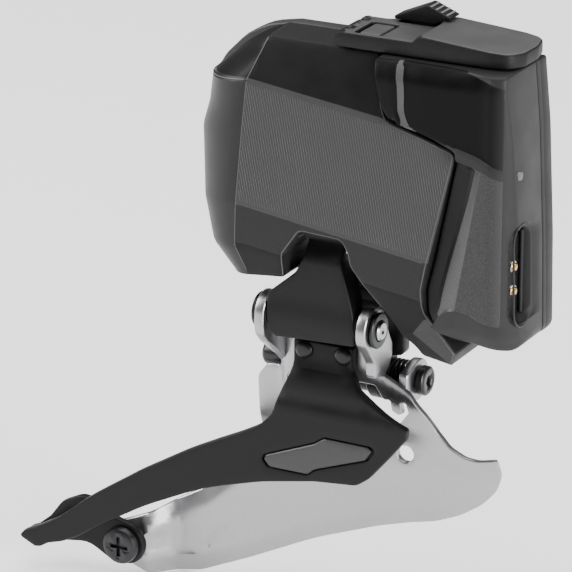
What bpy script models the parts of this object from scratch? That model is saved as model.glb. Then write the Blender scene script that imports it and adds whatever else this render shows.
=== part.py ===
"""Wireless front derailleur with a clip-on battery, modelled as separate parts.

Frame: the origin is on the clamp bolt's axis, at the saddle face that meets the
bicycle's braze-on tab. +X is forward, +Y is inboard and +Z is up the seat tube.
Sizes are in millimetres and become metres where a mesh is made.
"""

import math

import bmesh
import bpy
from mathutils import Vector

MM = 0.001
GAP = 0.3  # clearance between pieces that touch or run on each other
MERGE = 2e-6  # metres: points this close after a Boolean are one point

# linkage: pivots run along X, and are given as (Y, Z)
LINK_LENGTH = 21.0
OUTER_TOP = (-20.5, 16.0)
INNER_TOP = (-8.5, 2.0)
OUTER_LOW = (OUTER_TOP[0], OUTER_TOP[1] - LINK_LENGTH)
INNER_LOW = (INNER_TOP[0], INNER_TOP[1] - LINK_LENGTH)
OUTER_PIN_RADIUS = 2.0
INNER_PIN_RADIUS = 1.8

# housing
TOP_Z = 53.0
COVER_SEAM_Y = -9.9
PLATE_SPAN = (-9.0, -6.0)  # Y of the inboard plate
CREASE_X = -38.0  # where the flat side meets the rounded rear
BAND_SLOPE = 0.14  # the side's bands drop this much for each mm forward
FRONT_X = 12.5
WALL = 2.0
# (band height at the crease, crease X, side Y, rear radius)
COVER_BANDS = (
    (-3.0, -38.0, -23.2, 4.0),
    (3.5, -38.0, -24.0, 4.6),
    (10.4, -39.8, -26.5, 8.0),
    (19.6, -39.0, -27.5, 11.7),
    (33.9, -38.2, -26.7, 14.6),
    (44.8, -37.5, -25.5, 12.7),
)
TOP_REAR_X = -35.0
TOP_SIDE_Y = -21.0

# cage
OUTER_PLATE_Y = -25.0
OUTER_PLATE_THICKNESS = 2.0
INNER_PLATE_Y = -13.3
INNER_PLATE_THICKNESS = 1.6
BRIDGE_Y = -15.9
TAIL_SCREW = (-69.8, -63.4)  # X, Z
RIVETS_X = (-28.3, -19.4)
RIVET_Z = -13.0

# gear train, in Y and Z across the shafts
SECTOR_RADIUS = 12.0
OUTPUT_MODULE = 0.8
PINION_TEETH = 8
MOTOR_MODULE = 0.6
WHEEL_TEETH = 20
MOTOR_TEETH = 9
GEAR_AXIS = (-16.2, 30.57)
MOTOR_AXIS = (-16.2, GEAR_AXIS[1] + MOTOR_MODULE * (WHEEL_TEETH + MOTOR_TEETH) / 2)

# battery, latch
BATTERY_SIDE_Y = -27.0
BATTERY_BACK_SPAN = (-11.2, -9.8)
LATCH_PIN = (-18.6, 54.9)  # X, Z
LATCH_BOTTOM = TOP_Z + GAP

BLACK = (0.035, 0.035, 0.037)
GRAPHITE = (0.075, 0.075, 0.078)
SILVER = (0.55, 0.55, 0.56)
STEEL = (0.42, 0.42, 0.43)
GOLD = (0.75, 0.47, 0.16)
BRASS = (0.55, 0.40, 0.17)
GREEN = (0.02, 0.12, 0.06)
RUBBER = (0.02, 0.02, 0.02)
BLUE = (0.05, 0.09, 0.22)


def material(name, colour, roughness, metallic):
    found = bpy.data.materials.get(name)
    if found:
        return found
    made = bpy.data.materials.new(name)
    made.use_nodes = True
    shader = made.node_tree.nodes["Principled BSDF"]
    shader.inputs["Base Color"].default_value = (*colour, 1.0)
    shader.inputs["Roughness"].default_value = roughness
    shader.inputs["Metallic"].default_value = metallic
    return made


def finish(name):
    """The material of each finish that the parts are made in."""
    table = {
        "moulded_black": (BLACK, 0.55, 0.0),
        "battery_graphite": (GRAPHITE, 0.5, 0.0),
        "forged_black": (BLACK, 0.45, 0.6),
        "silver_alloy": (SILVER, 0.35, 1.0),
        "steel": (STEEL, 0.3, 1.0),
        "gold_contact": (GOLD, 0.25, 1.0),
        "brass_gear": (BRASS, 0.35, 1.0),
        "circuit_board": (GREEN, 0.5, 0.0),
        "rubber": (RUBBER, 0.8, 0.0),
        "cell_wrap": (BLUE, 0.4, 0.0),
    }
    return material(name, *table[name])


def obj_from(name, bm, look):
    bmesh.ops.recalc_face_normals(bm, faces=bm.faces)
    mesh = bpy.data.meshes.new(name)
    bm.to_mesh(mesh)
    bm.free()
    made = bpy.data.objects.new(name, mesh)
    mesh.materials.append(finish(look))
    bpy.context.scene.collection.objects.link(made)
    return made


def place(axis, a, b, along):
    """A point from its two plane coordinates and its place along the axis."""
    point = {"X": (along, a, b), "Y": (a, along, b), "Z": (a, b, along)}[axis]
    return Vector(point) * MM


def prism(name, outline, span, axis="Y", look="moulded_black"):
    """An outline pushed through a span along one axis."""
    bm = bmesh.new()
    ends = [[bm.verts.new(place(axis, a, b, along)) for a, b in outline] for along in span]
    bm.faces.new(ends[0])
    bm.faces.new(ends[1])
    for i in range(len(outline)):
        j = (i + 1) % len(outline)
        bm.faces.new((ends[0][i], ends[0][j], ends[1][j], ends[1][i]))
    return obj_from(name, bm, look)


def box(name, low, high, look="moulded_black"):
    corners = [(low[0], low[2]), (high[0], low[2]), (high[0], high[2]), (low[0], high[2])]
    return prism(name, corners, (low[1], high[1]), "Y", look)


def turned(name, profile, centre, look, axis="X", sides=24, bored=False):
    """A profile of (along, radius) points turned about a line parallel to an axis."""
    bm = bmesh.new()
    rings = []
    for along, radius in profile:
        count = sides if radius > 0 else 1
        ring = []
        for i in range(count):
            angle = 2 * math.pi * i / sides
            a = centre[0] + radius * math.cos(angle)
            b = centre[1] + radius * math.sin(angle)
            ring.append(bm.verts.new(place(axis, a, b, along)))
        rings.append(ring)
    if bored:
        rings.append(rings[0])
    for lower, upper in zip(rings, rings[1:]):
        for i in range(sides):
            corners = [lower[i % len(lower)], lower[(i + 1) % len(lower)]]
            corners += [upper[(i + 1) % len(upper)], upper[i % len(upper)]]
            kept = list(dict.fromkeys(corners))
            bm.faces.new(kept)
    made = obj_from(name, bm, look)
    made.data.shade_smooth()
    made.data.set_sharp_from_angle(angle=math.radians(35))
    return made


def rod(name, centre, span, radius, look="steel", axis="X", sides=24):
    profile = [(span[0], 0), (span[0], radius), (span[1], radius), (span[1], 0)]
    return turned(name, profile, centre, look, axis, sides)


def sleeve(name, centre, span, inner, outer, look="steel", axis="X", sides=24):
    profile = [(span[0], inner), (span[0], outer), (span[1], outer), (span[1], inner)]
    return turned(name, profile, centre, look, axis, sides, bored=True)


def combine(target, tool, operation):
    """Unite the tool with the target, or cut it away, and drop the tool."""
    step = target.modifiers.new(operation, "BOOLEAN")
    step.operation = operation
    step.solver = "EXACT"
    step.object = tool
    bpy.context.view_layer.update()
    graph = bpy.context.evaluated_depsgraph_get()
    result = bpy.data.meshes.new_from_object(target.evaluated_get(graph))
    tidy = bmesh.new()
    tidy.from_mesh(result)
    bmesh.ops.remove_doubles(tidy, verts=tidy.verts, dist=MERGE)
    tidy.to_mesh(result)
    tidy.free()
    old = target.data
    target.modifiers.clear()
    target.data = result
    result.name = target.name
    bpy.data.meshes.remove(old)
    spent = tool.data
    bpy.data.objects.remove(tool)
    bpy.data.meshes.remove(spent)
    return target


def cut(target, *tools):
    for tool in tools:
        combine(target, tool, "DIFFERENCE")
    return target


def unite(target, *tools):
    for tool in tools:
        combine(target, tool, "UNION")
    return target


def arc(centre, radius, start, end, steps):
    """Points on a circle from one angle to another, in degrees."""
    points = []
    for i in range(steps + 1):
        angle = math.radians(start + (end - start) * i / steps)
        points.append((centre[0] + radius * math.cos(angle), centre[1] + radius * math.sin(angle)))
    return points


def smooth(value):
    t = min(1.0, max(0.0, value))
    return t * t * (3 - 2 * t)


def curved_plate(name, outline, depth, thickness, look, x_lines, z_lines):
    """A plate of the given outline in X and Z whose Y follows depth(x, z)."""
    bm = bmesh.new()
    front, back = [
        [[bm.verts.new(place("Y", x, z, depth(x, z) + offset)) for x in x_lines] for z in z_lines]
        for offset in (0.0, thickness)
    ]
    rows, columns = len(z_lines) - 1, len(x_lines) - 1
    for r in range(rows):
        for c in range(columns):
            for s in (front, back):
                bm.faces.new((s[r][c], s[r][c + 1], s[r + 1][c + 1]))
                bm.faces.new((s[r][c], s[r + 1][c + 1], s[r + 1][c]))
    rim = [(0, c) for c in range(columns)] + [(r, columns) for r in range(rows)]
    rim += [(rows, c) for c in range(columns, 0, -1)] + [(r, 0) for r in range(rows, 0, -1)]
    for i, (r, c) in enumerate(rim):
        r2, c2 = rim[(i + 1) % len(rim)]
        bm.faces.new((front[r][c], front[r2][c2], back[r2][c2], back[r][c]))
    slab = obj_from(name, bm, look)
    return combine(slab, prism("outline", outline, (-60.0, 40.0)), "INTERSECT")


def stations(*stretches):
    """Grid lines from (start, end, count) stretches, each evenly divided."""
    lines = []
    for start, end, count in stretches:
        lines += [start + (end - start) * i / count for i in range(count)]
    return [*lines, stretches[-1][1]]


# ---------------------------------------------------------------- housing


def cover_ring(band, inset=0.0):
    """One closed section of the cover: seam, flat side, rounded rear, seam."""
    height, crease, side, radius = band
    side += inset
    radius = max(1.0, radius - inset)
    front = FRONT_X - inset
    points = [(front, COVER_SEAM_Y), (front, side), (CREASE_X + 24, side), (crease, side)]
    for i in range(1, 6):
        angle = math.radians(90 * i / 5)
        x = crease - radius * math.sin(angle)
        y = side + radius - radius * math.cos(angle)
        points.append((x, min(y, COVER_SEAM_Y - 0.5)))
    points.append((crease - radius, COVER_SEAM_Y))
    return [(x, y, height - BAND_SLOPE * abs(x - CREASE_X)) for x, y in points]


def top_ring(inset=0.0):
    """The flat top's edge, with as many points as the sections below it."""
    rear = TOP_REAR_X + inset
    side = TOP_SIDE_Y + inset
    z = TOP_Z - inset
    front = FRONT_X - inset
    points = [(front, COVER_SEAM_Y, z), (front, side + 0.5, z), (CREASE_X + 24, side + 0.5, z)]
    points.append((rear + 0.6, side, z))
    for i in range(1, 6):
        share = i / 5
        points.append((rear - 0.5 * share, side + (COVER_SEAM_Y - 0.5 - side) * share, z))
    points.append((rear - 0.5, COVER_SEAM_Y, z))
    return points


def loft(name, rings, look="moulded_black"):
    bm = bmesh.new()
    levels = [[bm.verts.new(Vector(p) * MM) for p in ring] for ring in rings]
    count = len(rings[0])
    for lower, upper in zip(levels, levels[1:]):
        for i in range(count):
            j = (i + 1) % count
            bm.faces.new((lower[i], lower[j], upper[j]))
            bm.faces.new((lower[i], upper[j], upper[i]))
    for cap in (levels[0], levels[-1]):
        hub = bm.verts.new(sum((v.co for v in cap), Vector()) / count)
        for i in range(count):
            bm.faces.new((cap[i], cap[(i + 1) % count], hub))
    return obj_from(name, bm, look)


# the line along which the battery meets the housing, from the top down
BATTERY_LINE = (
    (-8.3, 60.0),
    (-8.8, 48.0),
    (-8.2, 43.4),
    (-6.3, 40.5),
    (1.4, 38.4),
    (8.4, 36.2),
    (3.5, 13.6),
    (2.0, 7.6),
    (2.3, 2.6),
    (4.4, -1.3),
    (8.2, -6.0),
)

# the open bay that the links swing in, below the housing
BAY_LINE = (
    (-60.0, -20.0),
    (-60.0, 3.6),
    (-38.0, 3.4),
    (-29.3, 4.2),
    (-28.8, 10.0),
    (-24.7, 15.6),
    (-15.4, 15.2),
    (-14.2, 12.7),
    (-13.8, 10.0),
    (-4.2, -2.9),
    (-0.3, -8.5),
    (30.0, -8.6),
    (30.0, -20.0),
)

COVER_SCREWS = ((-39.8, 6.0), (-28.9, 20.6), (-13.1, 21.4), (1.2, -3.2))


def outer_cover():
    cover = loft("outer_cover", [cover_ring(b) for b in COVER_BANDS] + [top_ring()])
    hollow = loft("hollow", [cover_ring(b, WALL) for b in COVER_BANDS[2:]] + [top_ring(WALL)])
    keep = [(-60.0, 8.6), (-31.0, 8.6), (-31.0, 23.0), (-11.5, 23.0), (-11.5, 52.0), (-60.0, 52.0)]
    combine(hollow, prism("keep", keep, (-40.0, COVER_SEAM_Y + 5.0)), "INTERSECT")
    opening = [(-50.0, 22.0), (-46.5, 9.0), (-31.0, 9.0), (-31.0, 23.0), (-11.5, 23.0)]
    opening += [(-11.5, 50.5), (-36.0, 50.5), (-49.5, 42.0)]
    unite(hollow, prism("opening", opening, (COVER_SEAM_Y - 0.6, COVER_SEAM_Y + 3.0)))
    cut(cover, hollow)
    pocket = [(-10.0, 19.0), (1.8, 17.0), (4.6, 34.0), (-10.0, 37.6)]
    cut(cover, prism("pocket", pocket, (-24.0, 0.0)))
    cut(cover, prism("bay", BAY_LINE, (-40.0, 0.0)))
    cut(cover, box("link_room", (-26.6, -25.0, 8.0), (-15.6, 0.0, 20.9)))
    past = [(60.0, -12.0), (60.0, 60.0)]
    cut(cover, prism("battery_room", [*BATTERY_LINE, (8.2, -12.0), *past], (-40.0, 0.0)))
    cut(cover, box("rear_lug_room", (-33.7, -13.0, -5.0), (-28.0, 0.0, 7.7)))
    cut(cover, box("front_lug_room", (-10.7, -13.0, -5.0), (-5.0, 0.0, 9.0)))
    cut(cover, rod("shaft_hole", OUTER_TOP, (-32.0, -26.0), 3.3))
    cut(cover, rod("shaft_seat", OUTER_TOP, (-16.0, -12.4), 3.3))
    for x, z in COVER_SCREWS:
        cut(cover, rod("thread", (x, z), (-16.5, 0.0), 1.2, axis="Y", sides=12))
    for y in (-18.0, -11.5):
        cheek = [(-19.7, 50.8), (-17.5, 50.8), *arc(LATCH_PIN, 1.1, 0, 180, 8)]
        unite(cover, prism("ear", cheek, (y - 0.8, y + 0.8)))
    cut(cover, rod("pin_hole", LATCH_PIN, (-22.0, -8.0), 0.85, axis="Y", sides=12))
    cut(cover, box("button_pocket", (-15.2, -19.8, 51.4), (-11.0, -13.4, 55.0)))
    return cover


def inner_housing():
    rear = [(-47.8, 10.0), (-50.7, 19.6), (-53.2, 30.0), (-53.4, 39.5), (-50.8, 44.5)]
    rear += [(-46.0, 49.0), (-41.0, 51.7), (-35.0, TOP_Z)]
    front = [(FRONT_X, TOP_Z), (FRONT_X, -6.0), (8.0, -8.6), (-0.3, -8.5), (-4.2, -2.9)]
    bay = [(-5.0, 7.6), (-30.0, 7.6), (-30.0, 4.2), (-38.0, 3.6), (-43.5, 5.2)]
    housing = prism("inner_housing", rear + front + bay, PLATE_SPAN)
    for x0, x1 in ((-33.2, -30.1), (-8.8, -5.6)):
        lug = [*arc(INNER_TOP, 3.4, 180, 360, 10), (-6.0, 8.4), (-8.9, 8.4), (-11.7, 5.0)]
        unite(housing, prism("lug", lug, (x0, x1), "X"))
    cut(housing, rod("inner_pivot", INNER_TOP, (-40.0, 0.0), INNER_PIN_RADIUS + GAP))
    saddle = [(-6.4, -8.0), (3.0, -8.0), (5.5, -5.0), (5.5, 5.0), (3.0, 8.0), (-6.4, 8.0)]
    unite(housing, prism("saddle", saddle, (-8.4, 0.0), "X"))
    cut(housing, rod("bolt_bore", (0.0, 0.0), (-12.0, 2.0), 2.8))
    for x, z in COVER_SCREWS:
        cut(housing, rod("screw_hole", (x, z), (-12.0, 0.0), 1.2, axis="Y", sides=12))
        cut(housing, rod("screw_seat", (x, z), (-7.6, 0.0), 2.3, axis="Y", sides=16))
    cut(housing, box("contact_pocket", (-4.0, -12.0, 40.6), (4.2, -7.4, 51.0)))
    relief = [(-46.0, 20.0), (-33.0, 12.0), (-33.0, 24.8), (-14.0, 24.8), (-14.0, 48.0)]
    relief += [(-36.0, 48.0), (-46.0, 41.0)]
    cut(housing, prism("relief", relief, (-12.0, -7.6)))
    return housing


def cover_seal():
    outer = [(-48.8, 22.0), (-45.6, 9.8), (-30.4, 9.8), (-30.4, 22.2), (-11.2, 22.4)]
    outer += [(-11.2, 51.8), (-36.0, 51.8), (-49.0, 42.6)]
    centre = (-33.0, 31.0)
    inner = []
    for x, z in outer:
        length = math.hypot(x - centre[0], z - centre[1])
        share = 1 - 0.9 / length
        inner.append((centre[0] + (x - centre[0]) * share, centre[1] + (z - centre[1]) * share))
    seal = prism("cover_seal", outer, (-9.65, -9.25), look="rubber")
    return cut(seal, prism("seal_hole", inner, (-11.0, -8.0)))


def cover_screws():
    for i, (x, z) in enumerate(COVER_SCREWS):
        profile = [(-15.5, 0), (-15.5, 0.9), (-7.3, 0.9), (-7.3, 2.0), (-6.3, 2.0), (-6.1, 1.7), (-6.1, 0)]
        screw = turned(f"cover_screw_{i + 1}", profile, (x, z), "steel", "Y", 16)
        cut(screw, rod("socket", (x, z), (-6.9, -5.0), 0.9, axis="Y", sides=6))


def mount_hardware():
    washer = [(-4.6, -6.4), (4.6, -6.4), (4.6, 6.4), (-4.6, 6.4)]
    clamp = prism("clamp_washer", washer, (4.6, 7.0), "X", "forged_black")
    cut(clamp, rod("washer_hole", (0.0, 0.0), (4.0, 8.0), 2.8))
    profile = [(-7.0, 0), (-7.0, 2.5), (7.3, 2.5), (7.3, 4.2), (11.0, 4.2), (11.5, 3.7), (11.5, 0)]
    bolt = turned("clamp_bolt", profile, (0.0, 0.0), "steel")
    cut(bolt, rod("hex", (0.0, 0.0), (8.8, 13.0), 2.6, sides=6))


# ---------------------------------------------------------------- drive


def tooth_ring(module, teeth, clearance=0.32):
    """A spur gear's outline about the origin, with straight-sided teeth."""
    pitch = module * teeth / 2
    root = pitch - 1.15 * module
    tip = pitch + 0.8 * module
    half = math.pi / teeth / 2 - clearance * module / pitch / 2
    points = []
    for i in range(teeth):
        middle = 2 * math.pi * i / teeth
        for radius, spread in ((root, -1.55), (tip, -0.5), (tip, 0.5), (root, 1.55)):
            angle = middle + spread * half
            points.append((radius * math.cos(angle), radius * math.sin(angle)))
    return points


def turned_by(points, angle, centre):
    c, s = math.cos(angle), math.sin(angle)
    return [(centre[0] + a * c - b * s, centre[1] + a * s + b * c) for a, b in points]


def mesh_angle():
    return math.atan2(GEAR_AXIS[1] - OUTER_TOP[1], GEAR_AXIS[0] - OUTER_TOP[0])


def drive_train():
    rod("motor_can", MOTOR_AXIS, (-44.0, -34.2), 5.0)
    can = bpy.data.objects["motor_can"]
    cut(can, rod("bearing", MOTOR_AXIS, (-43.0, -30.0), 1.1))
    rotor = rod("motor_rotor", MOTOR_AXIS, (-42.6, -23.8), 0.8, "steel")
    upward = math.pi / 2
    pinion = turned_by(tooth_ring(MOTOR_MODULE, MOTOR_TEETH), -upward, MOTOR_AXIS)
    unite(rotor, prism("motor_pinion", pinion, (-26.9, -24.2), "X", "steel"))

    # the big wheel shows the rotor a gap between two teeth
    wheel_turn = upward + math.pi / WHEEL_TEETH
    wheel = turned_by(tooth_ring(MOTOR_MODULE, WHEEL_TEETH), wheel_turn, GEAR_AXIS)
    gear = prism("reduction_gear", wheel, (-26.6, -24.6), "X", "brass_gear")
    unite(gear, rod("hub", GEAR_AXIS, (-33.0, -26.0), 2.1))
    small = turned_by(tooth_ring(OUTPUT_MODULE, PINION_TEETH), mesh_angle() + math.pi, GEAR_AXIS)
    unite(gear, prism("small_pinion", small, (-33.8, -31.4), "X"))
    cut(gear, rod("gear_bore", GEAR_AXIS, (-40.0, -20.0), 1.0 + GAP, sides=16))
    rod("gear_axle", GEAR_AXIS, (-36.0, -22.6), 1.0, sides=16)

    carrier = [(-22.4, 26.6), (-10.6, 26.6), (-10.6, 45.6), (-19.6, 45.6), (-22.4, 42.0)]
    plate = prism("gear_carrier", carrier, (-30.8, -29.6), "X", "steel")
    cut(plate, rod("hub_hole", GEAR_AXIS, (-32.0, -28.0), 2.8))
    cut(plate, rod("motor_hole", MOTOR_AXIS, (-32.0, -28.0), 2.2))

    half_angle = math.pi / 30
    blank = turned_by(tooth_ring(OUTPUT_MODULE, 30), mesh_angle() + half_angle, OUTER_TOP)
    sector = prism("drive_sector", blank, (-33.6, -31.6), "X", "brass_gear")
    low, high = mesh_angle() - math.radians(20), mesh_angle() + math.radians(19)
    wedge = [OUTER_TOP]
    for i in range(9):
        angle = low + (high - low) * i / 8
        a = OUTER_TOP[0] + 20 * math.cos(angle)
        wedge.append((a, OUTER_TOP[1] + 20 * math.sin(angle)))
    combine(sector, prism("wedge", wedge, (-36.0, -30.0), "X"), "INTERSECT")
    unite(sector, rod("boss", OUTER_TOP, (-33.6, -31.6), 4.0))
    cut(sector, rod("shaft_bore", OUTER_TOP, (-36.0, -30.0), 2.0 + GAP))
    rod("output_shaft", OUTER_TOP, (-34.6, -12.8), 2.0)
    sleeve("shaft_bush_rear", OUTER_TOP, (-31.0, -26.9), 2.0 + GAP, 3.0, "brass_gear")
    sleeve("shaft_bush_front", OUTER_TOP, (-15.4, -12.9), 2.0 + GAP, 3.0, "brass_gear")


def electronics():
    board = [(-9.2, 19.6), (1.2, 18.2), (3.6, 33.4), (-9.2, 36.4)]
    control = prism("control_board", board, (-13.4, -12.4), look="circuit_board")
    unite(control, box("chip", (-6.0, -15.0, 24.0), (-1.0, -13.0, 29.0)))
    unite(control, box("aerial", (-4.0, -14.4, 31.0), (1.0, -13.0, 33.0)))
    block = box("contact_block", (-3.6, -9.3, 41.0), (3.8, -7.7, 50.6))
    for i, z in enumerate((43.6, 48.0)):
        cut(block, rod("pin_bore", (0.0, z), (-10.0, -8.1), 1.3, axis="Y", sides=16))
        rod(f"contact_pin_{i + 1}", (0.0, z), (-9.55, -8.4), 1.0, "gold_contact", "Y", 16)
    button = box("setup_button", (-15.0, -20.3, 54.0), (-10.8, -13.2, 56.2), "forged_black")
    unite(button, box("stem", (-14.6, -19.2, 51.9), (-11.4, -14.0, 54.5)))


# ---------------------------------------------------------------- linkage


def outer_link():
    left = [(-25.4, 14.9), (-25.6, 7.2), (-27.6, 4.8), (-33.5, 0.8), (-33.4, -5.6), (-33.0, -7.4)]
    right = [(-14.0, -7.4), (-14.6, -2.3), (-15.8, 3.0), (-17.3, 8.0), (-17.3, 14.9)]
    link = prism("outer_link", left + right, (-23.8, -20.8), look="forged_black")
    unite(link, rod("top_barrel", OUTER_TOP, (-25.8, -16.8), 3.9))
    unite(link, rod("low_barrel", OUTER_LOW, (-33.6, -13.6), 3.8))
    cut(link, rod("top_bore", OUTER_TOP, (-30.0, -10.0), 2.0 + GAP))
    cut(link, rod("low_bore", OUTER_LOW, (-40.0, -10.0), OUTER_PIN_RADIUS + GAP))
    return link


def inner_link():
    plate = [(-29.0, 2.3), (-31.0, -18.7), (-14.0, -18.7), (-14.0, -14.6), (-9.8, -14.0), (-9.8, 2.3)]
    link = prism("inner_link", plate, (-10.0, -7.0), look="forged_black")
    unite(link, rod("top_barrel", INNER_TOP, (-29.6, -9.3), 3.2))
    unite(link, rod("low_barrel", INNER_LOW, (-31.6, -13.5), 4.3))
    unite(link, rod("boss", INNER_LOW, (-16.8, -14.0), 5.2))
    cut(link, rod("top_bore", INNER_TOP, (-40.0, 0.0), INNER_PIN_RADIUS + GAP))
    cut(link, rod("low_bore", INNER_LOW, (-40.0, 0.0), INNER_PIN_RADIUS + GAP))
    return link


def pivots():
    rod("inner_upper_pin", INNER_TOP, (-33.6, -5.2), INNER_PIN_RADIUS)
    rod("outer_lower_pin", OUTER_LOW, (-37.9, -9.3), OUTER_PIN_RADIUS)
    flange = [(-13.0, 2.3), (-13.0, 2.9), (-10.7, 2.9), (-10.7, 3.7), (-9.9, 3.7), (-9.9, 2.3)]
    turned("outer_bush_front", flange, OUTER_LOW, "forged_black", bored=True)
    rear = [(-34.3, 2.3), (-34.3, 2.9), (-36.6, 2.9), (-36.6, 3.7), (-37.4, 3.7), (-37.4, 2.3)]
    turned("outer_bush_rear", rear, OUTER_LOW, "forged_black", bored=True)
    profile = [(-40.8, 0), (-40.8, 1.8), (-6.5, 1.8), (-6.5, 3.1), (-5.0, 3.1), (-4.7, 2.7), (-4.7, 0)]
    screw = turned("inner_lower_screw", profile, INNER_LOW, "forged_black")
    cut(screw, rod("hex", INNER_LOW, (-5.8, -3.0), 1.5, sides=6))
    nut = [(-42.2, 0), (-42.2, 2.2), (-41.4, 2.8), (-36.7, 2.8), (-36.7, 2.1), (-41.1, 2.1), (-41.1, 0)]
    turned("inner_pin_nut", nut, INNER_LOW, "forged_black")


def return_spring():
    """A close-wound torsion spring on the inner lower pivot."""
    turns, per_turn, around = 4, 16, 6
    coil, wire = 3.3, 0.36
    start, end = -13.0, -9.4
    bm = bmesh.new()
    rings = []
    steps = turns * per_turn
    for i in range(steps + 1):
        angle = 2 * math.pi * i / per_turn
        along = start + (end - start) * i / steps
        ring = []
        for j in range(around):
            spin = 2 * math.pi * j / around
            radius = coil + wire * math.cos(spin)
            a = INNER_LOW[0] + radius * math.cos(angle)
            b = INNER_LOW[1] + radius * math.sin(angle)
            ring.append(bm.verts.new(place("X", a, b, along + wire * math.sin(spin))))
        rings.append(ring)
    for lower, upper in zip(rings, rings[1:]):
        for j in range(around):
            k = (j + 1) % around
            bm.faces.new((lower[j], lower[k], upper[k], upper[j]))
    bm.faces.new(rings[0])
    bm.faces.new(rings[-1])
    return obj_from("return_spring", bm, "steel")


# ---------------------------------------------------------------- cage


def inner_depth(x, z):
    """Y of the inner plate's outboard face: arm, nose flare and tail step."""
    y = INNER_PLATE_Y
    y += (BRIDGE_Y - INNER_PLATE_Y) * smooth((z + 29) / 8) * smooth((x + 37) / 4)
    y += 3.0 * smooth((x + 2) / 16) * smooth((-30 - z) / 10)
    y -= 5.6 * smooth((-61.0 - x) / 5.5)
    return y


def inner_cage_plate():
    outline = [(12.3, -32.0), (8.0, -33.0), (5.6, -32.8), (2.3, -30.8), (-0.3, -28.2)]
    outline += [(-2.5, -23.7), (-5.8, -19.5), (-8.6, -18.0), (-12.6, -16.0), (-12.6, -10.4)]
    outline += [(-36.2, -10.4), (-36.2, -19.6), (-38.9, -19.7), (-41.7, -22.8), (-41.1, -37.5)]
    outline += [(-48.5, -44.5), (-55.4, -51.2), (-64.5, -56.5), (-70.5, -59.4), (-74.0, -61.0)]
    outline += [(-75.2, -64.0), (-74.0, -67.4), (-70.0, -69.6), (-66.0, -71.0), (-61.5, -71.4)]
    outline += [(-56.3, -70.5), (-44.9, -65.3), (-36.5, -61.1), (-29.0, -57.4), (-21.5, -54.0)]
    outline += [(-14.1, -51.4), (-6.8, -49.4), (-1.4, -48.1), (4.0, -46.0), (8.2, -43.3)]
    outline += [(10.7, -40.4), (12.0, -36.6)]
    x_lines = stations((-80.0, -66.6, 1), (-66.6, -60.9, 5), (-60.9, -37.1, 3), (-37.1, -32.9, 4))
    x_lines = x_lines[:-1] + stations((-32.9, -2.1, 3), (-2.1, 16.0, 6))
    z_lines = stations((-76.0, -40.1, 2), (-40.1, -30.1, 3), (-30.1, -20.9, 6), (-20.9, 2.0, 1))
    plate = curved_plate(
        "inner_cage_plate", outline, inner_depth, INNER_PLATE_THICKNESS, "silver_alloy", x_lines, z_lines
    )
    window = [(-33.4, -19.0), (-13.4, -19.0), (-11.2, -22.0), (-9.8, -21.4), (-9.9, -24.2)]
    window += [(-8.9, -25.2), (-7.4, -24.4), (-7.6, -22.0), (-6.6, -21.6), (-6.2, -24.0)]
    window += [(-8.6, -27.0), (-10.4, -29.0), (-10.8, -33.0), (-14.0, -36.5), (-33.4, -36.5)]
    cut(plate, prism("window", window, (-30.0, 0.0), "Y"))
    cut(plate, rod("arm_hole", (-7.6, -33.9), (-30.0, 0.0), 1.8, axis="Y"))
    cut(plate, rod("tail_hole", TAIL_SCREW, (-30.0, 0.0), 2.3, axis="Y"))
    rear = [*arc(OUTER_LOW, 5.3, 20, 240, 14), (-18.6, -12.5), (-14.2, -18.0)]
    rear += [*arc(INNER_LOW, 4.6, 200, 410, 12), (-12.0, -13.6), (-15.2, -8.0)]
    unite(plate, prism("rear_ear", rear, (-36.3, -34.0), "X"))
    front = [*arc(OUTER_LOW, 5.3, -10, 250, 16), (-19.6, -13.4), (-16.6, -16.6), (-14.6, -16.6)]
    unite(plate, prism("front_ear", [*front, (-14.6, -9.0)], (-13.2, -11.0), "X"))
    low = [*arc(INNER_LOW, 4.5, -150, 150, 16), (-14.6, -17.6), (-14.6, -21.8)]
    unite(plate, prism("low_ear", low, (-8.8, -6.8), "X"))
    cut(plate, rod("outer_eyes", OUTER_LOW, (-40.0, -5.0), 2.9 + GAP))
    cut(plate, rod("inner_eyes", INNER_LOW, (-40.0, -5.0), INNER_PIN_RADIUS + GAP))
    for x in RIVETS_X:
        cut(plate, rod("rivet_hole", (x, RIVET_Z), (-20.0, -10.0), 1.3, axis="Y", sides=16))
    return plate


def outer_depth(x, z):
    """Y of the outer plate's outboard face: flat, with the neck bent inboard."""
    return OUTER_PLATE_Y + 6.8 * smooth((z + 23) / 7.5)


INSERT = (
    (-34.6, -35.9),
    (-34.1, -34.8),
    (-26.2, -31.6),
    (-22.5, -30.1),
    (-20.2, -28.5),
    (-10.0, -28.6),
    (-8.8, -29.2),
    (-10.4, -31.6),
    (-22.5, -36.0),
    (-24.1, -37.4),
    (-33.2, -37.4),
)


def scaled(points, centre, share):
    """The outline drawn in towards a centre."""
    return [
        (centre[0] + (a - centre[0]) * share, centre[1] + (b - centre[1]) * share)
        for a, b in points
    ]


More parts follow.
